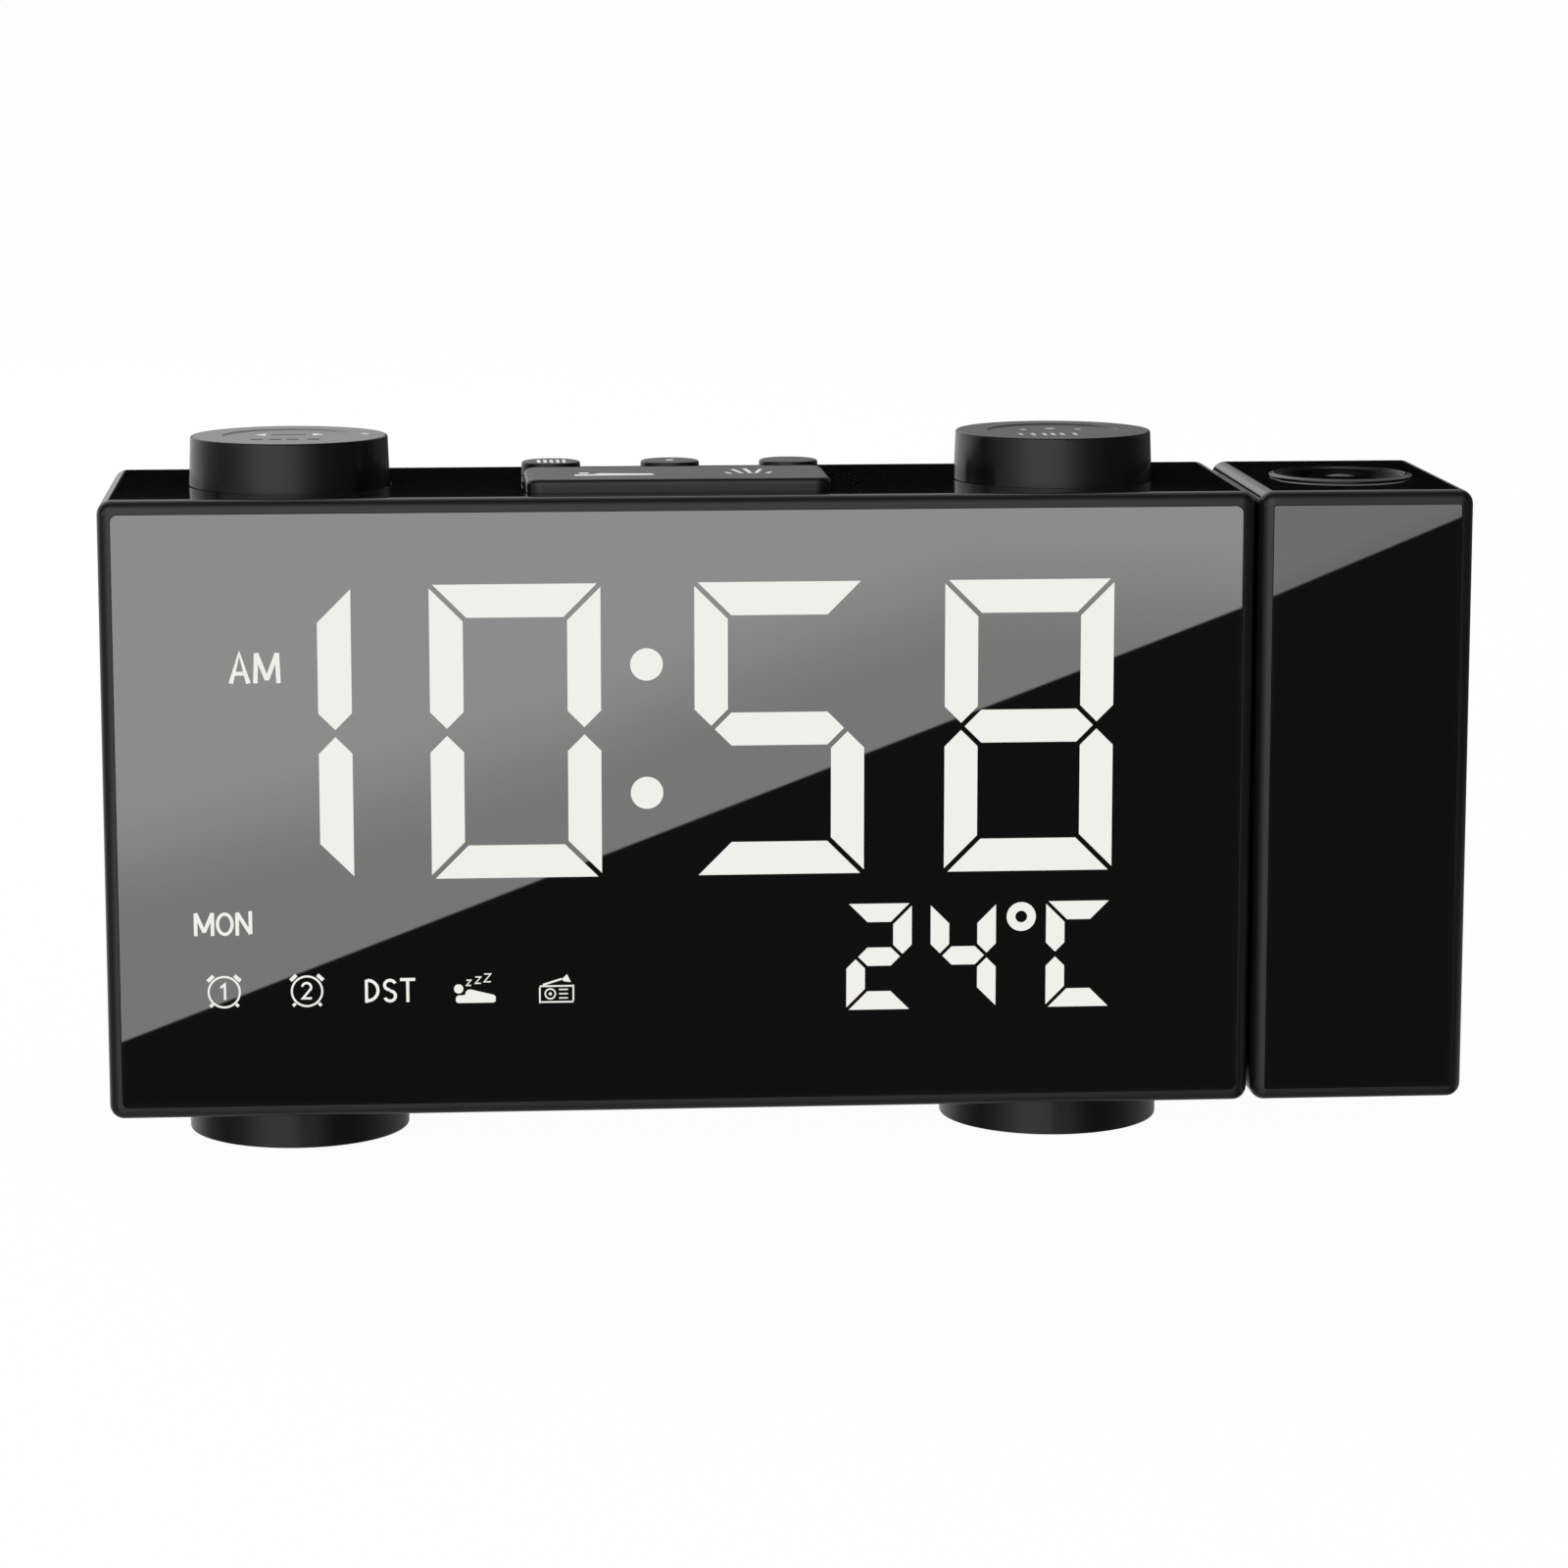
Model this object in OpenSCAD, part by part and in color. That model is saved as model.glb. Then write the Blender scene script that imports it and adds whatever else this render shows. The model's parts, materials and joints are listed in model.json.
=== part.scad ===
// Projection alarm clock: a mirror-fronted LED clock with a turning projector head at its right end.
// Frame: X to the right as the clock is read, Y away from the reader, Z up.
// The origin lies on the table, under the middle of the whole clock.

/* [Case] */
// Overall width, with the projector head
overall_w = 190; // [186:1:200]
// Height of the case, without feet and knobs
body_h = 86.3; // [85.5:0.1:90]
// Depth of the case
body_d = 42.5; // [42:0.5:46]
// Radius on every outer edge
edge_r = 2; // [1.5:0.1:2.2]
// Thickness of the moulded walls
wall = 2; // [1.8:0.1:2.2]

/* [Projector head] */
// Width of the projector head
head_w = 30.1; // [29.5:0.1:34]
// Gap between the case and the projector head
hinge_gap = 0.5; // [0.4:0.1:1]
// Outer radius of the hollow pivot axle
axle_r = 6; // [5.5:0.1:6.2]
// Outer radius of the focus ring's rim
focus_rim_r = 10.2; // [10.2:0.1:10.8]
// Radius of the lens barrel's nose
nose_r = 4.5; // [4:0.1:5.2]

/* [Knobs and keys] */
// Radius of a knob at its top
knob_top_r = 13.8; // [12:0.1:14]
// Radius of a knob at its base
knob_base_r = 14.05; // [14:0.05:14.5]
// Height of a knob above the case
knob_h = 6.9; // [6:0.1:9]
// Distance from either end of the case to the nearer knob and foot
knob_inset = 25.8; // [24:0.1:27]
// Height of the snooze bar and of the round keys above the case
key_h = 2; // [1.5:0.1:3]
// Radius of a round key
key_r = 4.2; // [3.5:0.1:4.4]
// Distance between round keys
key_pitch = 17; // [15:0.5:18]
// Width of the snooze bar
bar_w = 42.2; // [36:0.1:44]
// Depth of the snooze bar
bar_d = 18; // [17:0.5:20]

/* [Feet] */
// Height of the feet, rubber pads included
foot_h = 6; // [5:0.1:8]
// Radius of a foot
foot_r = 15.6; // [14:0.1:17]

/* [Display] */
// Height of a large digit
digit_h = 40.9; // [36:0.1:42]
// Width of a large digit
digit_w = 23.5; // [20:0.1:24]
// Width of a large digit's strokes
digit_stroke = 4.6; // [3:0.1:5]
// Height of a small digit
small_h = 15; // [12:0.1:16]
// Width of a small digit
small_w = 9.1; // [7:0.1:9.5]
// Width of a small digit's strokes
small_stroke = 2.65; // [1.5:0.05:2.8]

/* [Hidden] */
$fn = 64;
eps = 0.01;

// Main planes of the case
x_left = -overall_w / 2;
body_w = overall_w - head_w - hinge_gap;
x_split = x_left + body_w;
x_head = x_split + hinge_gap;
x_right = overall_w / 2;
mid_x = x_left + body_w / 2;
head_mid_x = x_head + head_w / 2;
y_front = -body_d / 2;
y_back = body_d / 2;
z_top = foot_h + body_h;
z_roof = z_top - wall;
axis_z = foot_h + body_h / 2;

// Window, the ledge that carries it, and the cover that closes the back
rim = 1.92;
window_t = 2;
window_fit = 0.1;
window_proud = 0.05;
window_corner = 1;
head_window_corner = 0.3;
y_window_back = y_front + window_proud + window_t;
ledge_t = 1.5;
y_ledge = y_window_back + ledge_t;
ledge_w = 3.4;
ledge_in = 2 * (rim + ledge_w);
cover_t = 2;
cover_inset = 0.6;
cover_fit = 0.1;
y_cover_in = y_back - cover_inset - cover_t;
y_cover_out = y_back - cover_inset;

// Self-tapping screws, one size throughout
screw_r = 1.1;
screw_hole_r = 1.15;
screw_head_r = 2.2;
screw_head_h = 1.6;
screw_sink_r = 2.5;
screw_sink = 1.3;
post_r = 3;
post_bite = 0.5;

// Places of the posts that carry the rear cover and the main board
case_post_x = body_w / 2 - wall - post_r + post_bite;
post_z = body_h / 2 - wall - post_r + post_bite;
board_post_z = 25;
board_post_r = 2.5;

// Keys, knobs and the board below them
knob_x = [x_left + knob_inset, x_split - knob_inset];
knob_gap = 0.6;
knob_sink = 0.2;
knob_skirt_t = 1.9;
knob_roof_t = 1.8;
knob_edge_r = 0.35;
knob_dish_r = 9.3;
knob_dish = 0.2;
pocket_fit = 0.3;
hub_r = 4.8;
shaft_r = 3;
shaft_fit = 0.05;
press_fit = 0.02;
bushing_r = 3.5;
encoder_w = 12;
encoder_h = 6.5;
disc_r = 2.9;
disc_t = 0.8;
disc_play = 0.6;
pcb_t = 1.6;
z_key_board = z_top - 11.4;
key_board_w = 140;
key_board_y = [-7, 16];
key_post_x = [-66, -32, 32, 66];
key_post_y = 11;
switch_w = 6;
switch_h = 3.5;
switch_floor = 0.9;
plunger_r = 1.7;
plunger_fit = 0.05;
plunger_top = 1.6;
z_plunger = z_key_board + switch_h + plunger_top;
plunger_len = 3.2;
key_y = 9.75;
key_fit = 0.2;
flange_gap = 0.3;
flange_t = 1.6;
stem_r = 1.4;
bar_y = y_front + 13.8;
bar_switch_x = 14;
bar_switch_y = -2;
bar_corner = 2.2;
bar_edge_r = 0.9;
bar_fit = 0.3;
bar_lip = 1.3;

// Display block: wells through a plate, one for each lit area
mitre = 0.5;
digit_x = [-69, -34.7, 1.7, 36.4];
digit_z = -9.55;
small_x = [22.8, 34.6, 50.8];
small_z = -29;
colon_x = -4.96;
colon_z = [19.95, 2.05];
colon_r = 2.25;
degree_x = 47.3;
degree_z = -16.05;
degree_r = 2.05;
degree_hole_r = 0.83;
noon_x = -58.6;
noon_z = [20.05, 1.8];
day_x = -63.5;
day_z = -15.5;
day_pitch = 12;
icon_x = -63.6;
icon_z = -24.95;
icon_pitch = 11.5;
legend_w = 8.6;
legend_h = 5.2;
reflector_w = 143.8;
reflector_h = 70;
reflector_t = 8.3;
diffuser_t = 1.5;
led_t = 1.2;
y_board = y_window_back + reflector_t;

// Feet
foot_screw_x = 7;
pad_proud = 0.3;
pad_t = 1.2;
pad_r = foot_r - 2.1;
foot_edge_r = 0.3;
foot_boss_h = 4.5;

// Fittings of the rear cover, from the middle of the case
speaker_at = [40, -6];
speaker_r = 18;
speaker_depth = 14;
grille_r = 15.5;
slot_w = 1.6;
slot_pitch = 3.2;
battery_at = [-42, 4];
cell_r = 10;
cell_t = 3.2;
well_r = 11;
well_depth = 6.6;
well_wall = 1.4;
door_r = 13.6;
door_t = 1.5;
door_fit = 0.15;
door_lug_w = 8;
door_lug = 17;
jack_x = -60;
jack_size = [9, 14, 11];
jack_hole_r = 3.2;
jack_pin_r = 1;
jack_axis = 6.5;
usb_x = -38;
usb_size = [13.2, 14, 5.7];
usb_wall = 0.35;
usb_gap = 0.3;
usb_tongue = [11.2, 11.5, 1.9];
z_power_board = foot_h + 9;
power_board_x = [-70, -26];
power_board_d = 16;
rail_w = 3;
rail_len = 12;
antenna_at = [-8, -30];
antenna_hole_r = 1.2;
antenna_rim_r = 2.4;
vent_at = [6, -30];
vent_pitch = 2.6;
vent_h = 8;
vent_w = 1.2;
vent_count = 5;
vent_rib = 3.4;
vent_rib_t = 1.6;
thermistor_r = 1.2;

// Pivot between the case and the projector head
axle_bore_r = 4;
axle_fit = 0.05;
axle_flange_r = 11;
axle_flange_t = 2;
boss_r = 9;
boss_len = 4;
thrust_r = 8.8;
thrust_t = 1;
wave_t = 0.35;
wave_h = 1.4;
wave_count = 3;
nut_r = 8.6;
nut_t = 2.8;
nut_notches = 6;
arm_len = 13;
arm_w = 3;
arm_t = 2;
stop_gap = 0.4;
stop_t = 2.9;
stop_in = 9.6;
axle_screw_r = 8.6;
axle_screw_angles = [60, 180, 300];
x_boss = x_split - wall - boss_len;
x_thrust = x_boss - thrust_t;
x_nut = x_thrust - wave_h;
x_axle_end = x_nut - nut_t - 0.2;

// Optics of the projector head, heights measured down from the top of the case
ring_fit = 0.07;
ring_body_r = focus_rim_r - 0.62;
ring_bore_r = 8.06;
rim_gap = 0.05;
rim_top = 0.45;
ring_snap_r = focus_rim_r + 0.1;
ring_foot = 9;
dish_foot = 0.95;
barrel_r = 8;
barrel_top = 1.8;
barrel_len = 17.7;
barrel_bore_r = 5.5;
nose_top = 0.3;
nose_root = 1.5;
lens_r = nose_r - 0.7;
lens_t = 2.6;
lens_seat = 1.8;
lens_seat_r = lens_r - 0.6;
lens_curve_r = 9;
z_lens = z_top - lens_seat + lens_t / 2 - sag(lens_curve_r, lens_seat_r);
tube_r = 10;
tube_top = 10;
tube_len = 24.9;
key_rib_w = 2;
key_rib_r = 8.8;
key_rib_h = 6.5;
plate_t = 2;
tube_plate_y = 13.5;
stub_y = 11;
stub_r = 2.6;
stub_h = 3;
stub_bite = 0.2;
lead_r = 1.5;
lead_bend = 4;
lead_plug = 5;
x_lead_tail = x_axle_end - 7;
x_lead_bend = x_head + wall + axle_flange_t + 3;
z_tube_top = z_top - tube_top;
z_tube_foot = z_tube_top - tube_len;
z_stub = z_tube_foot + 7;
z_panel = z_tube_foot + 9.8;
z_barrel_seat = z_tube_foot + 13;
panel_w = 10.8;
panel_t = 1.2;
picture_w = 9;
condenser_r = 7.7;
condenser_h = 5.2;
condenser_curve_r = 10.2;
lamp_w = 3.5;
lamp_board_t = 2;

// ---------- Shapes that repeat ----------

// Block with all its edges and corners rounded to one radius
module rounded_block(size, r) {
    translate([r, r, 0]) cube([size.x - 2 * r, size.y - 2 * r, size.z]);
    translate([r, 0, r]) cube([size.x - 2 * r, size.y, size.z - 2 * r]);
    translate([0, r, r]) cube([size.x, size.y - 2 * r, size.z - 2 * r]);
    for (x = [r, size.x - r], y = [r, size.y - r])
        translate([x, y, r]) cylinder(r = r, h = size.z - 2 * r);
    for (x = [r, size.x - r], z = [r, size.z - r])
        translate([x, r, z]) rotate([-90, 0, 0]) cylinder(r = r, h = size.y - 2 * r);
    for (y = [r, size.y - r], z = [r, size.z - r])
        translate([r, y, z]) rotate([0, 90, 0]) cylinder(r = r, h = size.x - 2 * r);
    for (x = [r, size.x - r], y = [r, size.y - r], z = [r, size.z - r])
        translate([x, y, z]) sphere(r = r);
}

// Rectangle with round corners, centred
module round_rect(w, h, r) {
    square([w - 2 * r, h], center = true);
    square([w, h - 2 * r], center = true);
    for (x = [-1, 1], y = [-1, 1])
        translate([x * (w / 2 - r), y * (h / 2 - r)]) circle(r = r);
}

// Plate with upright corners of one radius, and its top edge rounded to a smaller one
module soft_plate(w, d, h, corner, edge) {
    linear_extrude(h - edge) round_rect(w, d, corner);
    linear_extrude(h) round_rect(w - 2 * edge, d - 2 * edge, corner - edge);
    for (y = [-1, 1])
        translate([0, y * (d / 2 - edge), h - edge]) rod_x(edge, corner - w / 2, w / 2 - corner);
    for (x = [-1, 1])
        translate([x * (w / 2 - edge), 0, h - edge]) rod_y(edge, corner - d / 2, d / 2 - corner);
    for (x = [-1, 1], y = [-1, 1])
        translate([x * (w / 2 - corner), y * (d / 2 - corner), h - edge])
            rotate_extrude() translate([corner - edge, 0]) circle(r = edge);
}

// Outline drawn as the clock is read, made solid from the depth y0 back to y1
module front_plate(y0, y1) {
    translate([0, y1, 0]) rotate([90, 0, 0]) linear_extrude(y1 - y0) children();
}

// Rod along Y from the depth y0 back to y1
module rod_y(r, y0, y1) {
    translate([0, y0, 0]) rotate([-90, 0, 0]) cylinder(r = r, h = y1 - y0);
}

// Rod along X
module rod_x(r, x0, x1) {
    translate([x0, 0, 0]) rotate([0, 90, 0]) cylinder(r = r, h = x1 - x0);
}

// Ring along X
module ring_x(r_out, r_in, x0, x1) {
    difference() {
        rod_x(r_out, x0, x1);
        rod_x(r_in, x0 - 1, x1 + 1);
    }
}

// Pan head screw with a cross recess, its head above z = 0 and its shank below
module screw(shank) {
    difference() {
        union() {
            cylinder(r = screw_head_r, h = screw_head_h);
            translate([0, 0, -shank]) cylinder(r = screw_r, h = shank + eps);
        }
        for (a = [0, 90])
            rotate(a) translate([-1.2, -0.3, screw_head_h - 0.9]) cube([2.4, 0.6, 1]);
    }
}

// Corner posts for a rear cover, from the depth y0 back to the cover
module cover_posts(post_x, y0) {
    for (x = post_x, z = [-post_z, post_z])
        translate([x, 0, axis_z + z]) rod_y(post_r, y0, y_cover_in);
}

// Pilot holes for the rear cover's screws
module cover_pilots(post_x) {
    for (x = post_x, z = [-post_z, post_z])
        translate([x, 0, axis_z + z]) rod_y(screw_hole_r, y_cover_in - 8, y_cover_in + 1);
}

// Screws that hold a rear cover
module cover_screws(post_x) {
    for (x = post_x, z = [-post_z, post_z])
        translate([x, y_cover_out - screw_sink, axis_z + z]) rotate([-90, 0, 0]) screw(6);
}

// Moulded shell with a pocket for its front window, open at the back, where its edge is sharp
module housing_shell(x0, w, corner) {
    difference() {
        translate([x0, y_front, foot_h]) rounded_block([w, body_d + edge_r, body_h], edge_r);
        translate([x0 - 1, y_back, foot_h - 1]) cube([w + 2, edge_r + 1, body_h + 2]);
        translate([x0 + w / 2, 0, axis_z])
            front_plate(y_front - 1, y_window_back)
                round_rect(w - 2 * rim + 2 * window_fit, body_h - 2 * rim + 2 * window_fit, corner);
        translate([x0 + wall, y_ledge, foot_h + wall])
            cube([w - 2 * wall, body_d, body_h - 2 * wall]);
    }
}

// Mirror panel that fills the front pocket
module window_pane(x_mid, w, corner) {
    translate([x_mid, 0, axis_z])
        front_plate(y_window_back - window_t, y_window_back)
            round_rect(w - 2 * rim, body_h - 2 * rim, corner);
}

// Plate that closes the back, with screw holes sunk for the heads
module cover_plate(x_mid, w, post_x) {
    difference() {
        translate([x_mid, 0, axis_z])
            front_plate(y_cover_in, y_cover_out)
                round_rect(w - 2 * wall - 2 * cover_fit, body_h - 2 * wall - 2 * cover_fit, 0.6);
        for (x = post_x, z = [-post_z, post_z])
            translate([x, 0, axis_z + z]) {
                rod_y(screw_hole_r, y_cover_in - 1, y_cover_out + 1);
                rod_y(screw_sink_r, y_cover_out - screw_sink, y_cover_out + 1);
            }
    }
}

case_posts = [mid_x - case_post_x, mid_x + case_post_x];
head_post_in = wall + post_r - post_bite;
head_posts = [x_head + head_post_in, x_right - head_post_in];

// ---------- Seven-segment characters ----------

// The seven strokes a to g as outlines: 45 degree mitres, parted by a gap of s along each side
function strokes(w, h, t, s) = let (m = h / 2, u = t / 2) [
    [[s, h], [w - s, h], [w - t - s, h - t], [t + s, h - t]],
    [[w, h - s], [w, m + u + s], [w - u, m + s], [w - t, m + u + s], [w - t, h - t - s]],
    [[w, s], [w - t, t + s], [w - t, m - u - s], [w - u, m - s], [w, m - u - s]],
    [[s, 0], [t + s, t], [w - t - s, t], [w - s, 0]],
    [[0, s], [0, m - u - s], [u, m - s], [t, m - u - s], [t, t + s]],
    [[0, h - s], [t, h - t - s], [t, m + u + s], [u, m + s], [0, m + u + s]],
    [[u + s, m], [t + s, m + u], [w - t - s, m + u], [w - u - s, m], [w - t - s, m - u], [t + s, m - u]]
];

// Middle of an outline's bounding points
function middle(points) = [
    (min([for (p = points) p.x]) + max([for (p = points) p.x])) / 2,
    (min([for (p = points) p.y]) + max([for (p = points) p.y])) / 2
];

large_strokes = strokes(digit_w, digit_h, digit_stroke, mitre);
small_strokes = strokes(small_w, small_h, small_stroke, mitre);
legend_places = concat(
    [for (z = noon_z) [noon_x, z]],
    [for (i = [0 : 6]) [day_x + i * day_pitch, day_z]],
    [for (i = [0 : 4]) [icon_x + i * icon_pitch, icon_z]]
);

// Every lit area of the display, about the middle of the window
module lit_areas() {
    for (x = digit_x, p = large_strokes)
        translate([x, digit_z]) polygon(p);
    for (x = small_x, p = small_strokes)
        translate([x, small_z]) polygon(p);
    for (z = colon_z)
        translate([colon_x, z]) circle(r = colon_r);
    difference() {
        translate([degree_x, degree_z]) circle(r = degree_r);
        translate([degree_x, degree_z]) circle(r = degree_hole_r);
    }
    for (p = legend_places)
        translate(p) square([legend_w, legend_h], center = true);
}

// ---------- Case ----------

// Opening, notch and screw holes that the snooze bar, keys, knobs and feet need
module case_openings() {
    translate([mid_x, bar_y, z_roof - 2])
        linear_extrude(wall + 3)
            round_rect(bar_w + 2 * bar_fit, bar_d + 2 * bar_fit, bar_corner + bar_fit);
    for (i = [-1 : 1])
        translate([mid_x + i * key_pitch, key_y, z_roof - 1]) cylinder(r = key_r + key_fit, h = wall + 2);
    for (x = knob_x) {
        translate([x, 0, z_top - knob_sink - knob_gap])
            cylinder(r = knob_base_r + pocket_fit, h = 2);
        translate([x, 0, z_roof - 1]) cylinder(r = bushing_r + pocket_fit, h = wall + 2);
    }
    for (x = knob_x, s = [-1, 1])
        translate([x + s * foot_screw_x, 0, foot_h - 1])
            cylinder(r = screw_hole_r, h = wall + foot_boss_h + 2);
    for (x = key_post_x)
        translate([mid_x + x, key_post_y, z_key_board - 1]) cylinder(r = screw_hole_r, h = 7);
    for (x = case_posts, z = [-board_post_z, board_post_z])
        translate([x, 0, axis_z + z]) rod_y(screw_hole_r, y_ledge + 0.5, y_board + 1);
}

// Two stop blocks that the nut's arm meets at the ends of the head's swing
module swing_stops() {
    for (side = [0, 1])
        translate([x_nut - nut_t, 0, axis_z]) mirror([0, 0, side])
            translate([0, -arm_w / 2 - stop_gap - stop_t, stop_in])
                cube([x_split - wall - x_nut + nut_t + eps, stop_t, arm_len - stop_in + 0.5]);
}

module main_housing() color("#1b1b1d") {
    difference() {
        union() {
            difference() {
                housing_shell(x_left, body_w, window_corner);
                translate([mid_x, 0, axis_z])
                    front_plate(y_window_back - 1, y_ledge + 1)
                        square([body_w - ledge_in, body_h - ledge_in], center = true);
            }
            cover_posts(case_posts, y_ledge - eps);
            for (x = case_posts, z = [-board_post_z, board_post_z])
                translate([x, 0, axis_z + z]) rod_y(board_post_r, y_ledge - eps, y_board);
            for (x = key_post_x)
                translate([mid_x + x, key_post_y, z_key_board])
                    cylinder(r = board_post_r, h = z_roof - z_key_board + eps);
            for (x = knob_x, s = [-1, 1])
                translate([x + s * foot_screw_x, 0, foot_h + wall - eps])
                    cylinder(r = post_r, h = foot_boss_h);
            translate([0, 0, axis_z]) rod_x(boss_r, x_boss, x_split - wall + eps);
            swing_stops();
        }
        case_openings();
        cover_pilots(case_posts);
        translate([0, 0, axis_z]) rod_x(axle_r + axle_fit, x_boss - 1, x_split + 1);
    }
}

// Horizontal slots that fill a circle over the speaker
module grille_slots() {
    rows = floor(grille_r / slot_pitch);
    for (i = [-rows : rows]) {
        z = i * slot_pitch;
        w = 2 * sqrt(grille_r * grille_r - z * z);
        translate([0, z]) round_rect(w, slot_w, slot_w / 2 - eps);
    }
}

// Outline of the battery door: a disc with a lug for its screw
module door_outline(grow) {
    circle(r = door_r + grow);
    translate([-door_lug_w / 2 - grow, 0]) square([door_lug_w + 2 * grow, door_lug]);
    translate([0, door_lug]) circle(r = door_lug_w / 2 + grow);
}

y_door_in = y_cover_out - door_t - door_fit;
y_well_floor = y_cover_out - well_depth;

module rear_cover() color("#1c1c1e") {
    difference() {
        union() {
            cover_plate(mid_x, body_w, case_posts);
            translate([mid_x + battery_at.x, 0, axis_z + battery_at.y]) {
                rod_y(door_r + well_wall, y_door_in - well_wall, y_cover_in + eps);
                rod_y(well_r + well_wall, y_well_floor - well_wall, y_cover_in + eps);
                translate([0, 0, door_lug]) rod_y(post_r + 1, y_door_in - 5, y_cover_in + eps);
            }
            translate([mid_x + speaker_at.x, 0, axis_z + speaker_at.y])
                difference() {
                    rod_y(speaker_r + 1.6, y_cover_in - 2.5, y_cover_in + eps);
                    rod_y(speaker_r + 0.1, y_cover_in - 4, y_cover_in + 1);
                }
            translate([mid_x + antenna_at.x, 0, axis_z + antenna_at.y])
                rod_y(antenna_rim_r, y_cover_in - 2, y_cover_in + eps);
            translate([mid_x + vent_at.x - 1, y_cover_in - vent_rib, axis_z + vent_at.y - 7])
                cube([vent_pitch * (vent_count - 1) + 2, vent_rib + eps, vent_rib_t]);
            for (x = power_board_x)
                translate([mid_x + x - rail_w / 2, y_cover_in - rail_len, z_power_board - rail_w / 2])
                    cube([rail_w, rail_len + eps, pcb_t + rail_w]);
        }
        translate([mid_x + speaker_at.x, 0, axis_z + speaker_at.y])
            front_plate(y_cover_in - 1, y_cover_out + 1) grille_slots();
        translate([mid_x + battery_at.x, 0, axis_z + battery_at.y]) {
            front_plate(y_door_in, y_cover_out + 1) door_outline(door_fit);
            rod_y(well_r, y_well_floor, y_cover_out);
            translate([0, 0, door_lug]) rod_y(screw_hole_r, y_door_in - 4.5, y_cover_out);
        }
        translate([mid_x + jack_x, 0, z_power_board + pcb_t + jack_axis])
            rod_y(jack_hole_r + 0.8, y_cover_in - 1, y_cover_out + 1);
        translate([mid_x + usb_x, 0, z_power_board + pcb_t + usb_size.z / 2])
            front_plate(y_cover_in - 1, y_cover_out + 1)
                square([usb_size.x + 2 * usb_gap, usb_size.z + 2 * usb_gap], center = true);
        translate([mid_x + antenna_at.x, 0, axis_z + antenna_at.y])
            rod_y(antenna_hole_r, y_cover_in - 3, y_cover_out + 1);
        translate([mid_x + power_board_x[0] - 0.1, y_cover_in - power_board_d - 0.2, z_power_board - 0.05])
            cube([power_board_x[1] - power_board_x[0] + 0.2, power_board_d + 0.2, pcb_t + 0.1]);
        for (i = [0 : vent_count - 1])
            translate([mid_x + vent_at.x + i * vent_pitch, 0, axis_z + vent_at.y])
                front_plate(y_cover_in - 1, y_cover_out + 1) round_rect(vent_w, vent_h, vent_w / 2 - eps);
    }
}

// All the screws of the case: rear cover, main board, key board and feet
module case_screws() color("#8e9094") {
    cover_screws(case_posts);
    for (x = case_posts, z = [-board_post_z, board_post_z])
        translate([x, y_board + pcb_t, axis_z + z]) rotate([-90, 0, 0]) screw(6);
    for (x = key_post_x)
        translate([mid_x + x, key_post_y, z_key_board - pcb_t]) rotate([180, 0, 0]) screw(6);
    for (x = knob_x, s = [-1, 1])
        translate([x + s * foot_screw_x, 0, pad_t + screw_head_h + 0.1]) rotate([180, 0, 0]) screw(7);
}

module display_window() color("#0b0b0c") window_pane(mid_x, body_w, window_corner);

// White plugs that spread the light in the mouth of each well
module segment_diffusers() color("#f0f0eb")
    translate([mid_x, 0, axis_z]) front_plate(y_window_back, y_window_back + diffuser_t) lit_areas();

// Plate of light wells, black in front, between the window and the main board
module display_reflector() color("#161617")
    translate([mid_x, 0, axis_z])
        difference() {
            front_plate(y_window_back, y_board) square([reflector_w, reflector_h], center = true);
            front_plate(y_window_back - 1, y_board + 1) lit_areas();
        }

// One small lamp at the foot of every well
module display_leds() color("#e9e3c8")
    translate([mid_x, 0, axis_z])
        front_plate(y_board - led_t, y_board) {
            for (x = digit_x, p = large_strokes)
                translate([x, digit_z] + middle(p)) square([2, 1.4], center = true);
            for (x = small_x, p = small_strokes)
                translate([x, small_z] + middle(p)) square([1.2, 1], center = true);
            for (z = colon_z)
                translate([colon_x, z]) square([2, 1.4], center = true);
            for (p = legend_places)
                translate(p) square([2, 1.4], center = true);
        }

main_board_w = 2 * case_post_x + 4;

module main_board() color("#1f6b3a")
    difference() {
        translate([mid_x, 0, axis_z])
            front_plate(y_board, y_board + pcb_t) square([main_board_w, reflector_h], center = true);
        for (x = case_posts, z = [-board_post_z, board_post_z])
            translate([x, 0, axis_z + z]) rod_y(screw_hole_r, y_board - 1, y_board + pcb_t + 1);
    }

// Flat chip with its rows of legs, on the back of the main board
module control_chip() color("#2a2a2c")
    translate([mid_x - 10, y_board + pcb_t, axis_z + 4]) {
        translate([-5, 0, -5]) cube([10, 1.6, 10]);
        for (i = [-4 : 4], s = [0, 1])
            mirror([s, 0, 0]) translate([5 - eps, 0, i - 0.2]) cube([1.2, 0.5, 0.4]);
    }

// ---------- Key board and controls ----------

switch_places = concat(
    [for (i = [-1 : 1]) [mid_x + i * key_pitch, key_y]],
    [for (s = [-1, 1]) [mid_x + s * bar_switch_x, bar_switch_y]]
);

module key_board() color("#2a7a45")
    difference() {
        translate([mid_x - key_board_w / 2, key_board_y[0], z_key_board - pcb_t])
            cube([key_board_w, key_board_y[1] - key_board_y[0], pcb_t]);
        for (x = key_post_x)
            translate([mid_x + x, key_post_y, z_key_board - pcb_t - 1])
                cylinder(r = screw_hole_r, h = pcb_t + 2);
    }

module tact_switches() color("#3a3a3d")
    for (p = switch_places)
        translate([p.x, p.y, z_key_board])
            difference() {
                translate([-switch_w / 2, -switch_w / 2, 0]) cube([switch_w, switch_w, switch_h]);
                translate([0, 0, switch_floor]) cylinder(r = plunger_r + plunger_fit, h = switch_h);
            }

// Plunger of one tact switch
module plunger(x, y) color("#d8d2c4")
    translate([x, y, z_plunger - plunger_len]) cylinder(r = plunger_r, h = plunger_len);

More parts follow.
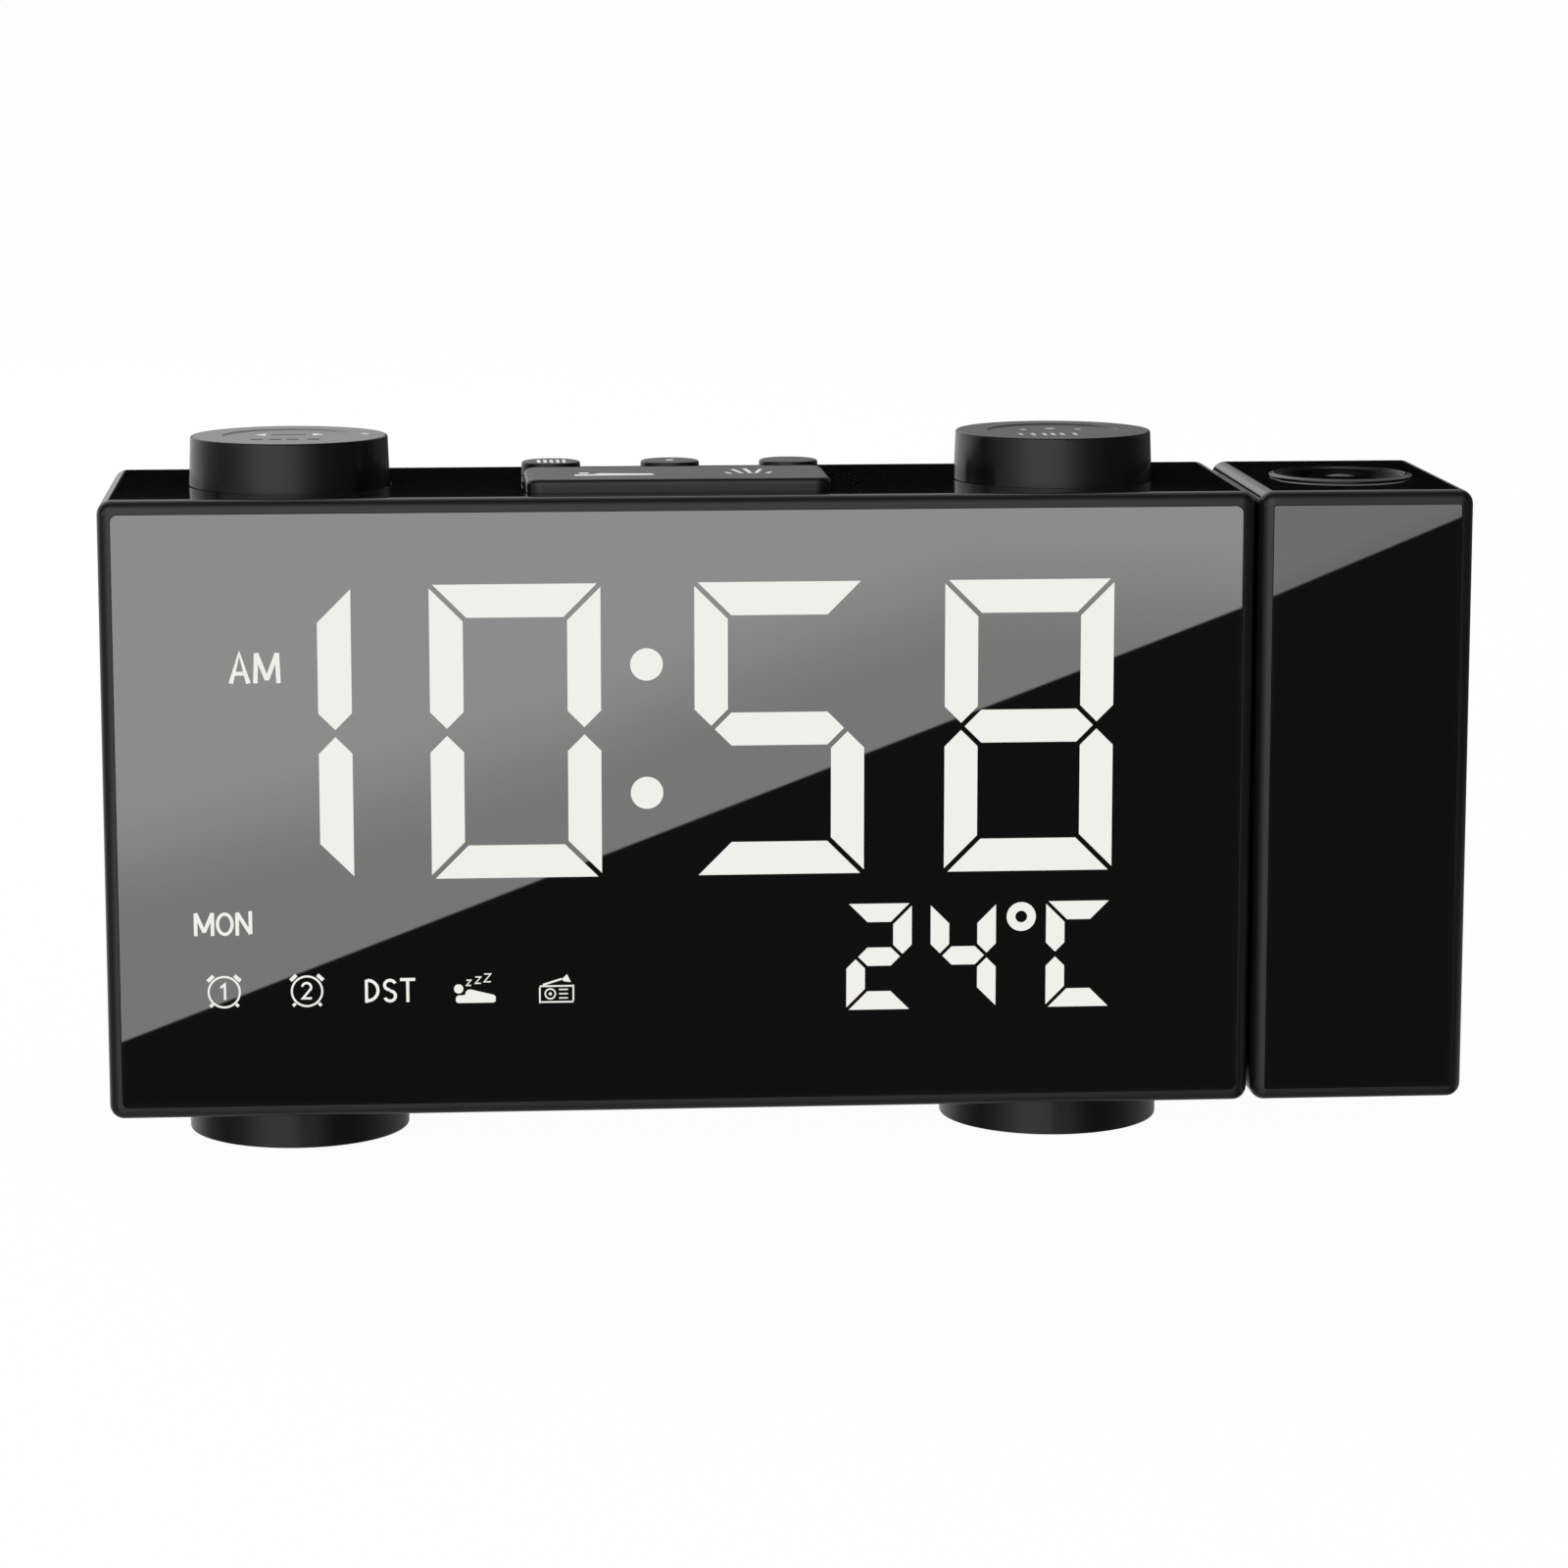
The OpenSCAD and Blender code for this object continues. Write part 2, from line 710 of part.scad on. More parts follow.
module round_key(x) color("#242426")
    translate([x, key_y, 0]) {
        translate([0, 0, z_plunger]) cylinder(r = stem_r, h = z_roof - z_plunger - flange_gap);
        translate([0, 0, z_roof - flange_gap - flange_t]) cylinder(r = key_r + 0.8, h = flange_t);
        translate([0, 0, z_roof - flange_gap - eps])
            rotate_extrude() {
                square([key_r, wall + flange_gap + key_h - 0.4]);
                square([key_r - 0.4, wall + flange_gap + key_h]);
                translate([key_r - 0.4, wall + flange_gap + key_h - 0.4]) circle(r = 0.4);
            }
    }

// Long bar: a rounded top edge, a lip below the roof and two stems
module snooze_bar() color("#2b2b2d") {
    z_lip = z_roof - flange_gap;
    translate([mid_x, bar_y, z_lip])
        soft_plate(bar_w, bar_d, z_top + key_h - z_lip, bar_corner, bar_edge_r);
    translate([mid_x - bar_w / 2 - bar_lip, bar_y - bar_d / 2 + bar_lip, z_lip - bar_lip])
        cube([bar_w + 2 * bar_lip, bar_d - 2 * bar_lip, bar_lip + eps]);
    for (s = [-1, 1])
        translate([mid_x + s * bar_switch_x, bar_switch_y, z_plunger])
            cylinder(r = stem_r, h = z_lip - bar_lip - z_plunger + eps);
}

module snooze_plungers()
    for (s = [-1, 1])
        plunger(mid_x + s * bar_switch_x, bar_switch_y);

z_shaft_foot = z_key_board + 2.2;
z_shaft_top = z_top + knob_h - knob_roof_t;
z_knob_foot = z_top - knob_sink;

// Rotary encoder: square body, threaded bushing and the bore that guides the shaft
module encoder(x) color("#9a9ca0")
    translate([x, 0, 0])
        difference() {
            union() {
                translate([-encoder_w / 2, -encoder_w / 2, z_key_board])
                    cube([encoder_w, encoder_w, encoder_h]);
                translate([0, 0, z_key_board + encoder_h - eps])
                    cylinder(r = bushing_r, h = z_knob_foot - z_key_board - encoder_h - 0.3);
            }
            translate([0, 0, z_shaft_foot - disc_t - disc_play])
                cylinder(r = shaft_r + shaft_fit, h = 20);
        }

// Disc under the shaft: it moves down with a press and doesn't turn
module push_disc(x) color("#c9b98a")
    translate([x, 0, z_shaft_foot - disc_t]) cylinder(r = disc_r, h = disc_t);

// Shaft with a flat for the knob
module encoder_shaft(x) color("#b7b9bd")
    translate([x, 0, 0])
        difference() {
            translate([0, 0, z_shaft_foot]) cylinder(r = shaft_r, h = z_shaft_top - z_shaft_foot);
            translate([-shaft_r, shaft_r / 2, z_top + 1]) cube([2 * shaft_r, shaft_r, knob_h]);
        }

// Half outline of the knob: tapered side, rounded top edge, shallow dish in the top, hollow below
module knob_profile() {
    taper = atan((knob_base_r - knob_top_r) / knob_h);
    top = knob_h + knob_sink;
    cx = knob_top_r - knob_edge_r;
    cy = top - knob_edge_r;
    translate([cx, cy]) circle(r = knob_edge_r);
    polygon([[knob_base_r - knob_skirt_t, 0], [knob_base_r, 0],
             [cx + knob_edge_r * cos(taper), cy + knob_edge_r * sin(taper)],
             [cx, cy], [cx, top], [knob_dish_r, top], [knob_dish_r - knob_dish, top - knob_dish],
             [0, top - knob_dish], [0, top - knob_roof_t],
             [knob_base_r - knob_skirt_t, top - knob_roof_t]]);
}

module knob(x) color("#222224")
    translate([x, 0, z_knob_foot])
        difference() {
            union() {
                rotate_extrude() knob_profile();
                translate([0, 0, 1.2]) cylinder(r = hub_r, h = knob_h + knob_sink - 1.2 - knob_roof_t / 2);
            }
            difference() {
                cylinder(r = shaft_r + press_fit, h = z_shaft_top - z_knob_foot);
                translate([-hub_r, shaft_r / 2 + press_fit, 1 + knob_sink])
                    cube([2 * hub_r, shaft_r, knob_h]);
            }
        }

// ---------- Feet ----------

module foot(x) color("#1f1f21")
    translate([x, 0, pad_proud])
        difference() {
            rotate_extrude()
                difference() {
                    union() {
                        translate([0, foot_edge_r]) square([foot_r, foot_h - pad_proud - foot_edge_r]);
                        square([foot_r - foot_edge_r, foot_edge_r + eps]);
                        translate([foot_r - foot_edge_r, foot_edge_r]) circle(r = foot_edge_r);
                    }
                    translate([-1, -1]) square([pad_r + 0.1 + 1, pad_t - pad_proud + 1]);
                }
            for (s = [-1, 1])
                translate([s * foot_screw_x, 0, -1]) {
                    cylinder(r = screw_hole_r, h = foot_h + 2);
                    cylinder(r = screw_sink_r, h = pad_t - pad_proud + 1 + screw_head_h + 0.1);
                }
        }

module foot_pads() color("#101011")
    for (x = knob_x)
        translate([x, 0, 0]) cylinder(r = pad_r, h = pad_t);

// ---------- Speaker, power and battery ----------

// Pressed basket with its magnet
module speaker_basket() color("#6f7276")
    translate([mid_x + speaker_at.x, y_cover_in, axis_z + speaker_at.y])
        rotate([90, 0, 0]) {
            rotate_extrude()
                polygon([[speaker_r - 2, 0], [speaker_r, 0], [speaker_r, 1], [speaker_r - 2, 1.4],
                         [9, 7], [9, 8], [6.5, 8], [6.5, 7], [speaker_r - 2.6, 1.2]]);
            translate([0, 0, 8 - eps]) cylinder(r = 9, h = speaker_depth - 8);
        }

// Paper cone with its dust cap
module speaker_cone() color("#2d2d2f")
    translate([mid_x + speaker_at.x, y_cover_in, axis_z + speaker_at.y])
        rotate([90, 0, 0])
            rotate_extrude()
                polygon([[0, 3.2], [3, 3.6], [4.5, 5], [speaker_r - 3.6, 0.9], [speaker_r - 2.5, 0.3],
                         [speaker_r - 2.5, 0.7], [speaker_r - 3.6, 1.4], [4.6, 5.5], [4.6, 7.9], [4, 7.9],
                         [4, 5.4], [2.8, 4], [0, 3.6]]);

module power_board() color("#2a7a45")
    translate([mid_x + power_board_x[0], y_cover_in - power_board_d - 0.1, z_power_board])
        cube([power_board_x[1] - power_board_x[0], power_board_d, pcb_t]);

// Barrel socket: a round mouth with a centre pin
module power_jack() color("#29292b")
    translate([mid_x + jack_x, y_cover_in - jack_size.y + 0.5, z_power_board + pcb_t])
        difference() {
            union() {
                translate([-jack_size.x / 2, 0, 0]) cube([jack_size.x, jack_size.y - 0.7, jack_size.z]);
                translate([0, 0, jack_axis]) rod_y(jack_hole_r + 0.6, 0, jack_size.y + 1.2);
            }
            translate([0, 0, jack_axis])
                difference() {
                    rod_y(jack_hole_r, 3, jack_size.y + 2);
                    rod_y(jack_pin_r, 2, jack_size.y);
                }
        }

// Type A socket: a sheet metal shell with a contact tongue
module usb_socket() color("#c4c6ca")
    translate([mid_x + usb_x - usb_size.x / 2, y_cover_out - usb_size.y, z_power_board + pcb_t])
        difference() {
            cube(usb_size);
            difference() {
                translate([usb_wall, 1.5, usb_wall])
                    cube([usb_size.x - 2 * usb_wall, usb_size.y, usb_size.z - 2 * usb_wall]);
                translate([(usb_size.x - usb_tongue.x) / 2, 1, usb_size.z - usb_wall - 0.5 - usb_tongue.z])
                    cube(usb_tongue);
            }
        }

z_cell = axis_z + battery_at.y;
x_cell = mid_x + battery_at.x;

// Spring strip behind the cell and a side strip on its rim
module battery_contacts() color("#c9a227") {
    translate([x_cell - 2, y_well_floor, z_cell - 8]) cube([4, 0.3, 16]);
    translate([x_cell, 0, z_cell]) rod_y(1.2, y_well_floor + 0.3 - eps, y_door_in - cell_t - 0.2);
    translate([x_cell + cell_r + 0.1, y_well_floor, z_cell - 2]) cube([0.3, 4.4, 4]);
}

module coin_cell() color("#b9bcc0")
    translate([x_cell, y_door_in - 0.2, z_cell])
        rotate([90, 0, 0]) {
            cylinder(r = cell_r, h = cell_t - 0.6);
            cylinder(r = cell_r - 1.2, h = cell_t);
        }

// Door over the coin cell, held by one screw in its lug
module battery_door() color("#1f1f21")
    translate([x_cell, 0, z_cell])
        difference() {
            front_plate(y_door_in, y_door_in + door_t) door_outline(0);
            translate([0, 0, door_lug]) {
                rod_y(screw_hole_r, y_door_in - 1, y_cover_out + 1);
                rod_y(screw_sink_r, y_door_in + 0.5, y_cover_out + 1);
            }
            for (i = [-1 : 1])
                translate([0, 0, i * 3])
                    front_plate(y_door_in + door_t - 0.4, y_cover_out + 1) round_rect(10, 1, 0.45);
        }

module door_screw() color("#8e9094")
    translate([x_cell, y_door_in + 0.5, z_cell + door_lug]) rotate([-90, 0, 0]) screw(4);

// Temperature bead on its two leads, lying on a rib behind the vents
module thermistor() color("#b3502c")
    translate([mid_x + vent_at.x + 4, y_cover_in - 1.8, axis_z + vent_at.y - 7 + vent_rib_t + thermistor_r]) {
        sphere(r = thermistor_r);
        for (s = [-1, 1])
            translate([s * 0.6, 0, 0]) cylinder(r = 0.25, h = 9);
    }

// ---------- Pivot ----------

module slip_washer() color("#e6e3da")
    translate([0, 0, axis_z]) ring_x(axle_flange_r, axle_r + 0.3, x_split, x_head);

module thrust_washer() color("#e6e3da")
    translate([0, 0, axis_z]) ring_x(thrust_r, axle_r + 0.1, x_thrust, x_boss);

// Hollow axle: its flange is screwed to the head, its tube runs in the boss of the case
module pivot_axle() color("#a9abaf")
    translate([0, 0, axis_z])
        difference() {
            union() {
                rod_x(axle_r, x_axle_end, x_head + wall + eps);
                rod_x(axle_flange_r, x_head + wall, x_head + wall + axle_flange_t);
            }
            rod_x(axle_bore_r, x_axle_end - 1, x_head + 10);
            for (a = axle_screw_angles)
                rotate([a, 0, 0]) translate([0, 0, axle_screw_r]) rod_x(screw_hole_r, x_head, x_head + 10);
        }

// Wavy spring ring: its faces follow a sine of the angle
module wave_washer() color("#9fa2a6") {
    steps = 48;
    swing = (wave_h - wave_t - 0.04) / 2;
    radii = [axle_r + 0.2, nut_r - 0.3];
    points = [for (i = [0 : steps - 1], p = [[0, 0], [1, 0], [1, 1], [0, 1]])
        let (a = i * 360 / steps, r = radii[p.x])
        [x_nut + wave_h / 2 + swing * sin(wave_count * a) + (p.y - 0.5) * wave_t,
         r * cos(a), r * sin(a)]];
    faces = [for (i = [0 : steps - 1], k = [0 : 3])
        let (j = (i + 1) % steps, n = (k + 1) % 4)
        [4 * i + n, 4 * j + n, 4 * j + k, 4 * i + k]];
    translate([0, 0, axis_z]) polyhedron(points, faces);
}

// Ring nut on the end of the axle, with spanner notches and the arm that limits the swing
module retaining_nut() color("#8a8c90")
    translate([0, 0, axis_z])
        difference() {
            union() {
                rod_x(nut_r, x_nut - nut_t, x_nut);
                translate([x_nut - nut_t, nut_r - 2, -arm_w / 2]) cube([arm_t, arm_len - nut_r + 2, arm_w]);
            }
            rod_x(axle_r + 0.02, x_nut - nut_t - 1, x_nut + 1);
            for (i = [1 : nut_notches - 1])
                rotate([i * 360 / nut_notches, 0, 0])
                    translate([x_nut - nut_t - eps, nut_r - 1.1, -1]) cube([1.4, 3, 2]);
        }

// ---------- Projector head ----------

stub_x = [x_head + wall + stub_r - stub_bite, x_right - wall - stub_r + stub_bite];

module projector_housing() color("#1b1b1d")
    difference() {
        union() {
            housing_shell(x_head, head_w, head_window_corner);
            cover_posts(head_posts, y_cover_in - 9);
            for (x = stub_x, y = [-stub_y, stub_y])
                translate([x, y, z_stub - stub_h]) cylinder(r = stub_r, h = stub_h);
        }
        cover_pilots(head_posts);
        translate([0, 0, axis_z]) rod_x(axle_r + 0.3, x_head - 1, x_head + wall + 1);
        for (a = axle_screw_angles)
            translate([0, 0, axis_z]) rotate([a, 0, 0]) translate([0, 0, axle_screw_r])
                rod_x(screw_hole_r, x_head + 0.3, x_head + wall + 1);
        translate([head_mid_x, 0, z_roof - 1]) cylinder(r = ring_body_r + ring_fit, h = wall + 2);
        for (x = stub_x, y = [-stub_y, stub_y])
            translate([x, y, z_stub - stub_h - 1]) cylinder(r = screw_hole_r, h = stub_h + 2);
    }

module projector_window() color("#0b0b0c") window_pane(head_mid_x, head_w, head_window_corner);

head_board_w = 23;
board_peg_x = 9;
board_peg_z = [14, 38];
y_head_board = y_cover_in - 5;

module projector_rear_cover() color("#1c1c1e") {
    cover_plate(head_mid_x, head_w, head_posts);
    for (s = [-1, 1], z = board_peg_z)
        translate([head_mid_x + s * board_peg_x, 0, foot_h + z]) rod_y(1.8, y_head_board, y_cover_in + eps);
}

// Screws of the head: rear cover, axle flange and optic tube
module projector_screws() color("#8e9094") {
    cover_screws(head_posts);
    for (a = axle_screw_angles)
        translate([x_head + wall + axle_flange_t, 0, axis_z]) rotate([a, 0, 0])
            translate([0, 0, axle_screw_r]) rotate([0, 90, 0]) screw(3.5);
    for (x = stub_x, y = [-stub_y, stub_y])
        translate([x, y, z_stub + plate_t]) screw(4.5);
}

// Square block standing on its middle
module square_block(w, h) {
    translate([-w / 2, -w / 2, 0]) cube([w, w, h]);
}

// Tube that lines up lamp, condenser, picture panel and lens barrel
module optic_tube() color("#262628")
    translate([head_mid_x, 0, 0])
        difference() {
            union() {
                translate([0, 0, z_tube_foot]) cylinder(r = tube_r, h = tube_len);
                translate([-head_w / 2 + wall + 0.2, -tube_plate_y, z_stub])
                    cube([head_w - 2 * wall - 0.4, 2 * tube_plate_y, plate_t]);
            }
            translate([0, 0, z_tube_foot - 1])
                cylinder(r = condenser_r + 0.1, h = z_panel - z_tube_foot - 0.8);
            translate([0, 0, z_panel - 2.8]) cylinder(r = condenser_r - 0.8, h = 3);
            translate([0, 0, z_panel]) square_block(panel_w + 0.2, panel_t);
            translate([0, 0, z_panel + 0.2]) square_block(picture_w, z_barrel_seat - z_panel);
            translate([0, 0, z_barrel_seat]) cylinder(r = ring_bore_r, h = tube_len);
            translate([0, -key_rib_w / 2 - 0.1, z_barrel_seat + 0.5])
                cube([key_rib_r + 0.15, key_rib_w + 0.2, tube_len]);
            for (x = stub_x, y = [-stub_y, stub_y])
                translate([x - head_mid_x, y, z_stub - 1]) cylinder(r = screw_hole_r, h = plate_t + 2);
        }

module lcd_panel() color("#3d5a52")
    translate([head_mid_x, 0, z_panel]) square_block(panel_w, panel_t);

// Lens with one flat and one bulged face
module condenser_lens() color("#cfe3ea")
    translate([head_mid_x, 0, z_tube_foot + 2.8])
        intersection() {
            cylinder(r = condenser_r, h = condenser_h);
            translate([0, 0, condenser_h - condenser_curve_r]) sphere(r = condenser_curve_r);
        }

// Lamp on its round board under the tube
module projector_led() color("#ded9c2")
    translate([head_mid_x, 0, z_tube_foot]) {
        translate([0, 0, -lamp_board_t]) cylinder(r = tube_r, h = lamp_board_t);
        translate([0, 0, -eps]) square_block(lamp_w, 0.9);
        translate([0, 0, 0.4]) sphere(r = 0.37 * lamp_w);
    }

// Driver board with its chip, on pegs of the head's rear cover
module projector_board() color("#2a7a45") {
    translate([head_mid_x - head_board_w / 2, y_head_board - pcb_t, foot_h + 10])
        cube([head_board_w, pcb_t, 42]);
    translate([head_mid_x - 4, y_head_board - pcb_t - 1.5, foot_h + 22]) cube([8, 1.5 + eps, 6]);
}

// Bundle of wires through the hollow axle, bent back to a plug on the driver board
module projector_lead() color("#222222")
    translate([x_lead_bend, 0, axis_z]) {
        rod_x(lead_r, x_lead_tail - x_lead_bend, 0);
        translate([0, lead_bend, 0]) rotate([0, 0, -90])
            rotate_extrude(angle = 90) translate([lead_bend, 0]) circle(r = lead_r);
        translate([lead_bend, 0, 0]) rod_y(lead_r, lead_bend, y_head_board - pcb_t - lead_plug);
        translate([lead_bend, y_head_board - pcb_t, 0]) rotate([90, 0, 0]) square_block(lead_plug, lead_plug);
    }

// Ring round the lens: a low rim, a flared mouth, a snap edge and the bore for the barrel
module focus_ring() color("#2a2a2c")
    translate([head_mid_x, 0, z_top])
        rotate_extrude()
            polygon([[ring_bore_r, -dish_foot], [focus_rim_r - 1.1, rim_top - 0.35],
                     [focus_rim_r - 1.05, rim_top - 0.1], [focus_rim_r - 0.95, rim_top],
                     [focus_rim_r - 0.7, rim_top], [focus_rim_r, rim_top - 0.25], [focus_rim_r, rim_gap],
                     [ring_body_r, rim_gap], [ring_body_r, -wall - 0.1], [ring_snap_r, -wall - 0.15],
                     [ring_snap_r, -wall - 0.5], [ring_body_r, -wall - 1.2], [ring_body_r, -ring_foot],
                     [ring_bore_r, -ring_foot]]);

// Barrel that slides in the tube, kept from turning by its rib, with the lens in its nose
module lens_barrel() color("#1a1a1b")
    translate([head_mid_x, 0, z_top - barrel_top - barrel_len])
        difference() {
            union() {
                cylinder(r = barrel_r, h = barrel_len);
                cylinder(r = nose_r, h = barrel_len + barrel_top + nose_top);
                translate([0, -key_rib_w / 2, 0]) cube([key_rib_r, key_rib_w, key_rib_h]);
            }
            translate([0, 0, -1]) cylinder(r = barrel_bore_r, h = barrel_len - nose_root + 1);
            cylinder(r = lens_seat_r, h = barrel_len + barrel_top);
            translate([0, 0, barrel_len + barrel_top - lens_seat])
                cylinder(r = lens_r + 0.05, h = lens_seat + nose_top + 1);
        }

// Depth of a ball's surface below its top, at a radius r from its axis
function sag(ball_r, r) = ball_r - sqrt(ball_r * ball_r - r * r);

// Lens bulged on both faces, resting on the inner edge of the nose's seat
module projection_lens() color("#9fb7c4")
    translate([head_mid_x, 0, z_lens])
        intersection() {
            cylinder(r = lens_r, h = lens_t, center = true);
            translate([0, 0, lens_curve_r - lens_t / 2]) sphere(r = lens_curve_r);
            translate([0, 0, lens_t / 2 - lens_curve_r]) sphere(r = lens_curve_r);
        }

// ---------- Nodes ----------

main_housing();
rear_cover();
case_screws();
display_window();
segment_diffusers();
display_reflector();
display_leds();
main_board();
control_chip();
key_board();
tact_switches();
encoder(knob_x[0]);  // left_encoder
encoder(knob_x[1]);  // right_encoder
foot(knob_x[0]);  // left_foot
foot(knob_x[1]);  // right_foot
foot_pads();
speaker_basket();
speaker_cone();
power_board();
power_jack();
usb_socket();
battery_contacts();
coin_cell();
battery_door();
door_screw();
thermistor();
slip_washer();
thrust_washer();
snooze_bar();
snooze_plungers();
round_key(mid_x - key_pitch);  // left_button
plunger(mid_x - key_pitch, key_y);  // left_button_plunger
round_key(mid_x);  // middle_button
plunger(mid_x, key_y);  // middle_button_plunger
round_key(mid_x + key_pitch);  // right_button
plunger(mid_x + key_pitch, key_y);  // right_button_plunger
push_disc(knob_x[0]);  // left_push_disc
encoder_shaft(knob_x[0]);  // left_encoder_shaft
knob(knob_x[0]);  // left_knob
push_disc(knob_x[1]);  // right_push_disc
encoder_shaft(knob_x[1]);  // right_encoder_shaft
knob(knob_x[1]);  // right_knob
projector_housing();
projector_rear_cover();
projector_screws();
projector_window();
pivot_axle();
wave_washer();
retaining_nut();
optic_tube();
lcd_panel();
condenser_lens();
projector_led();
projector_board();
projector_lead();
focus_ring();
lens_barrel();
projection_lens();
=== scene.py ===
"""Looks of the projection alarm clock: finishes of its parts, lit display, printed marks and the set."""
import json
import math

import bpy
import numpy as np
from mathutils import Matrix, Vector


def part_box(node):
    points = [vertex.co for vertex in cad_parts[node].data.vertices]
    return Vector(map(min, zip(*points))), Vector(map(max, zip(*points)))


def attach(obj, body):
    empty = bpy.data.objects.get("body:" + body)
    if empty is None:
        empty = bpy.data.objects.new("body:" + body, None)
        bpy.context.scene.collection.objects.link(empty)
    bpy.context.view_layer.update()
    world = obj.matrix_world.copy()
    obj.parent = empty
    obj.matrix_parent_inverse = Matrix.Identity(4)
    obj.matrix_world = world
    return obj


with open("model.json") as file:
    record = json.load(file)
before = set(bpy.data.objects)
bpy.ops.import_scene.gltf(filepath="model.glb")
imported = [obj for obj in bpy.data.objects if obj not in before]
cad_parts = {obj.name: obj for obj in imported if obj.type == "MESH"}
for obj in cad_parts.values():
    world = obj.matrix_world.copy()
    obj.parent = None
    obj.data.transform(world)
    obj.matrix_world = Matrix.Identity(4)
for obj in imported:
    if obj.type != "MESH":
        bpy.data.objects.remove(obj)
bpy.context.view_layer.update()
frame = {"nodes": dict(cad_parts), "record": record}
nodes = frame["nodes"]
slots = {s["node"]: s["material_slot"] for s in frame["record"]["subparts"]}
mm = 0.001


def middle(node):
    """Middle of a node's box, in mm."""
    low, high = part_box(node)
    return (np.array(low) + np.array(high)) / 2 / mm


# ---------- Camera ----------

focal_pixels = 4980.27
frame_pixels = 1600
sensor_mm = 36.0
pitch, yaw, roll = (math.radians(a) for a in (9.5237, 4.3369, 0.0045))
eye = np.array([-51.643, -686.018, 164.117]) * mm


def place_camera():
    """Camera at the eye, looking along yaw and pitch; its axes are the columns right, up and -forward."""
    level = math.cos(pitch)
    forward = np.array([math.sin(yaw) * level, math.cos(yaw) * level, -math.sin(pitch)])
    right = np.array([math.cos(yaw), -math.sin(yaw), 0.0])
    up = np.cross(right, forward)
    turned_right = math.cos(roll) * right + math.sin(roll) * up
    turned_up = -math.sin(roll) * right + math.cos(roll) * up
    camera = bpy.data.objects.new("camera", bpy.data.cameras.new("camera"))
    bpy.context.scene.collection.objects.link(camera)
    matrix = np.eye(4)
    matrix[:3, 0], matrix[:3, 1], matrix[:3, 2], matrix[:3, 3] = turned_right, turned_up, -forward, eye
    camera.matrix_world = Matrix(matrix)
    camera.data.sensor_width = sensor_mm
    camera.data.lens = focal_pixels * sensor_mm / frame_pixels
    camera.data.clip_start, camera.data.clip_end = 0.02, 50
    bpy.context.scene.camera = camera


# ---------- Node trees ----------

class Wire:
    """One socket in a node tree. Sums on wires add Math nodes, and add() puts in any other node."""

    def __init__(self, tree, socket=None):
        self.tree = tree
        self.socket = socket

    def add(self, kind, settings=None, inputs=None, out=0):
        """Adds a node: its settings first, then the values or wires of its sockets. Returns its output."""
        node = self.tree.nodes.new(kind)
        for name, value in (settings or {}).items():
            if name == "stops":
                ramp = node.color_ramp.elements
                while len(ramp) < len(value):
                    ramp.new(0.5)
                for element, (place, colour) in zip(ramp, value):
                    element.position, element.color = place, colour
            else:
                setattr(node, name, value)
        for name, value in (inputs or {}).items():
            if isinstance(value, Wire):
                self.tree.links.new(value.socket, node.inputs[name])
            else:
                node.inputs[name].default_value = value
        return Wire(self.tree, node.outputs[out])

    def math(self, operation, *others):
        """Math node on this wire and the others."""
        return self.add("ShaderNodeMath", {"operation": operation}, dict(enumerate((self,) + others)))

    def __add__(self, other):
        return self.math("ADD", other)

    def __radd__(self, other):
        return self.math("ADD", other)

    def __mul__(self, other):
        return self.math("MULTIPLY", other)

    def __rmul__(self, other):
        return self.math("MULTIPLY", other)

    def __sub__(self, other):
        return self.math("SUBTRACT", other)

    def __rsub__(self, other):
        return self.math("MULTIPLY", -1.0).math("ADD", other)

    def __truediv__(self, other):
        return self.math("DIVIDE", other)

    def __rtruediv__(self, other):
        return self.math("POWER", -1.0).math("MULTIPLY", other)

    def __pow__(self, other):
        return self.math("POWER", other)

    def __neg__(self):
        return self.math("MULTIPLY", -1.0)

    def most(self, other):
        """The greater of the two."""
        return self.math("MAXIMUM", other)

    def rise(self, low, high):
        """0 below low, 1 above high, eased in between."""
        return self.add("ShaderNodeMapRange", {"interpolation_type": "SMOOTHSTEP"},
                        {"Value": self, "From Min": low, "From Max": high})

    def within(self, low, high, soft_low, soft_high):
        """1 between low and high, easing to 0 over the soft distance beyond each."""
        return self.rise(low - soft_low, low) * (1 - self.rise(high, high + soft_high))

    def table(self, *points):
        """Straight lines through (place, value) points, level beyond the first and the last."""
        low, high = points[0][0], points[-1][0]
        stops = [((p - low) / (high - low), (v, v, v, 1.0)) for p, v in points]
        return self.add("ShaderNodeValToRGB", {"stops": stops}, {0: (self - low) / (high - low)})

    def place(self):
        """The three Object coordinates, in metres."""
        coordinates = self.add("ShaderNodeTexCoord", out="Object")
        return [self.add("ShaderNodeSeparateXYZ", None, {0: coordinates}, out=i) for i in range(3)]

    def grain(self, size_mm, detail=2.0, rough=0.5):
        """Noise with spots of about the given size, from 0 to 1."""
        coordinates = self.add("ShaderNodeTexCoord", out="Object")
        return self.add("ShaderNodeTexNoise", None, {
            "Vector": coordinates, "Scale": 1 / (size_mm * mm), "Detail": detail, "Roughness": rough})

    def shade(self, dark, light):
        """Colour between dark and light, by this value."""
        return self.add("ShaderNodeMix", {"data_type": "RGBA"},
                        {0: self, 6: (*dark, 1.0), 7: (*light, 1.0)}, out=2)

    def bump(self, depth_mm, strength=1.0):
        """Surface relief with this value as its height."""
        return self.add("ShaderNodeBump", None, {
            "Height": self, "Distance": depth_mm * mm, "Strength": strength})


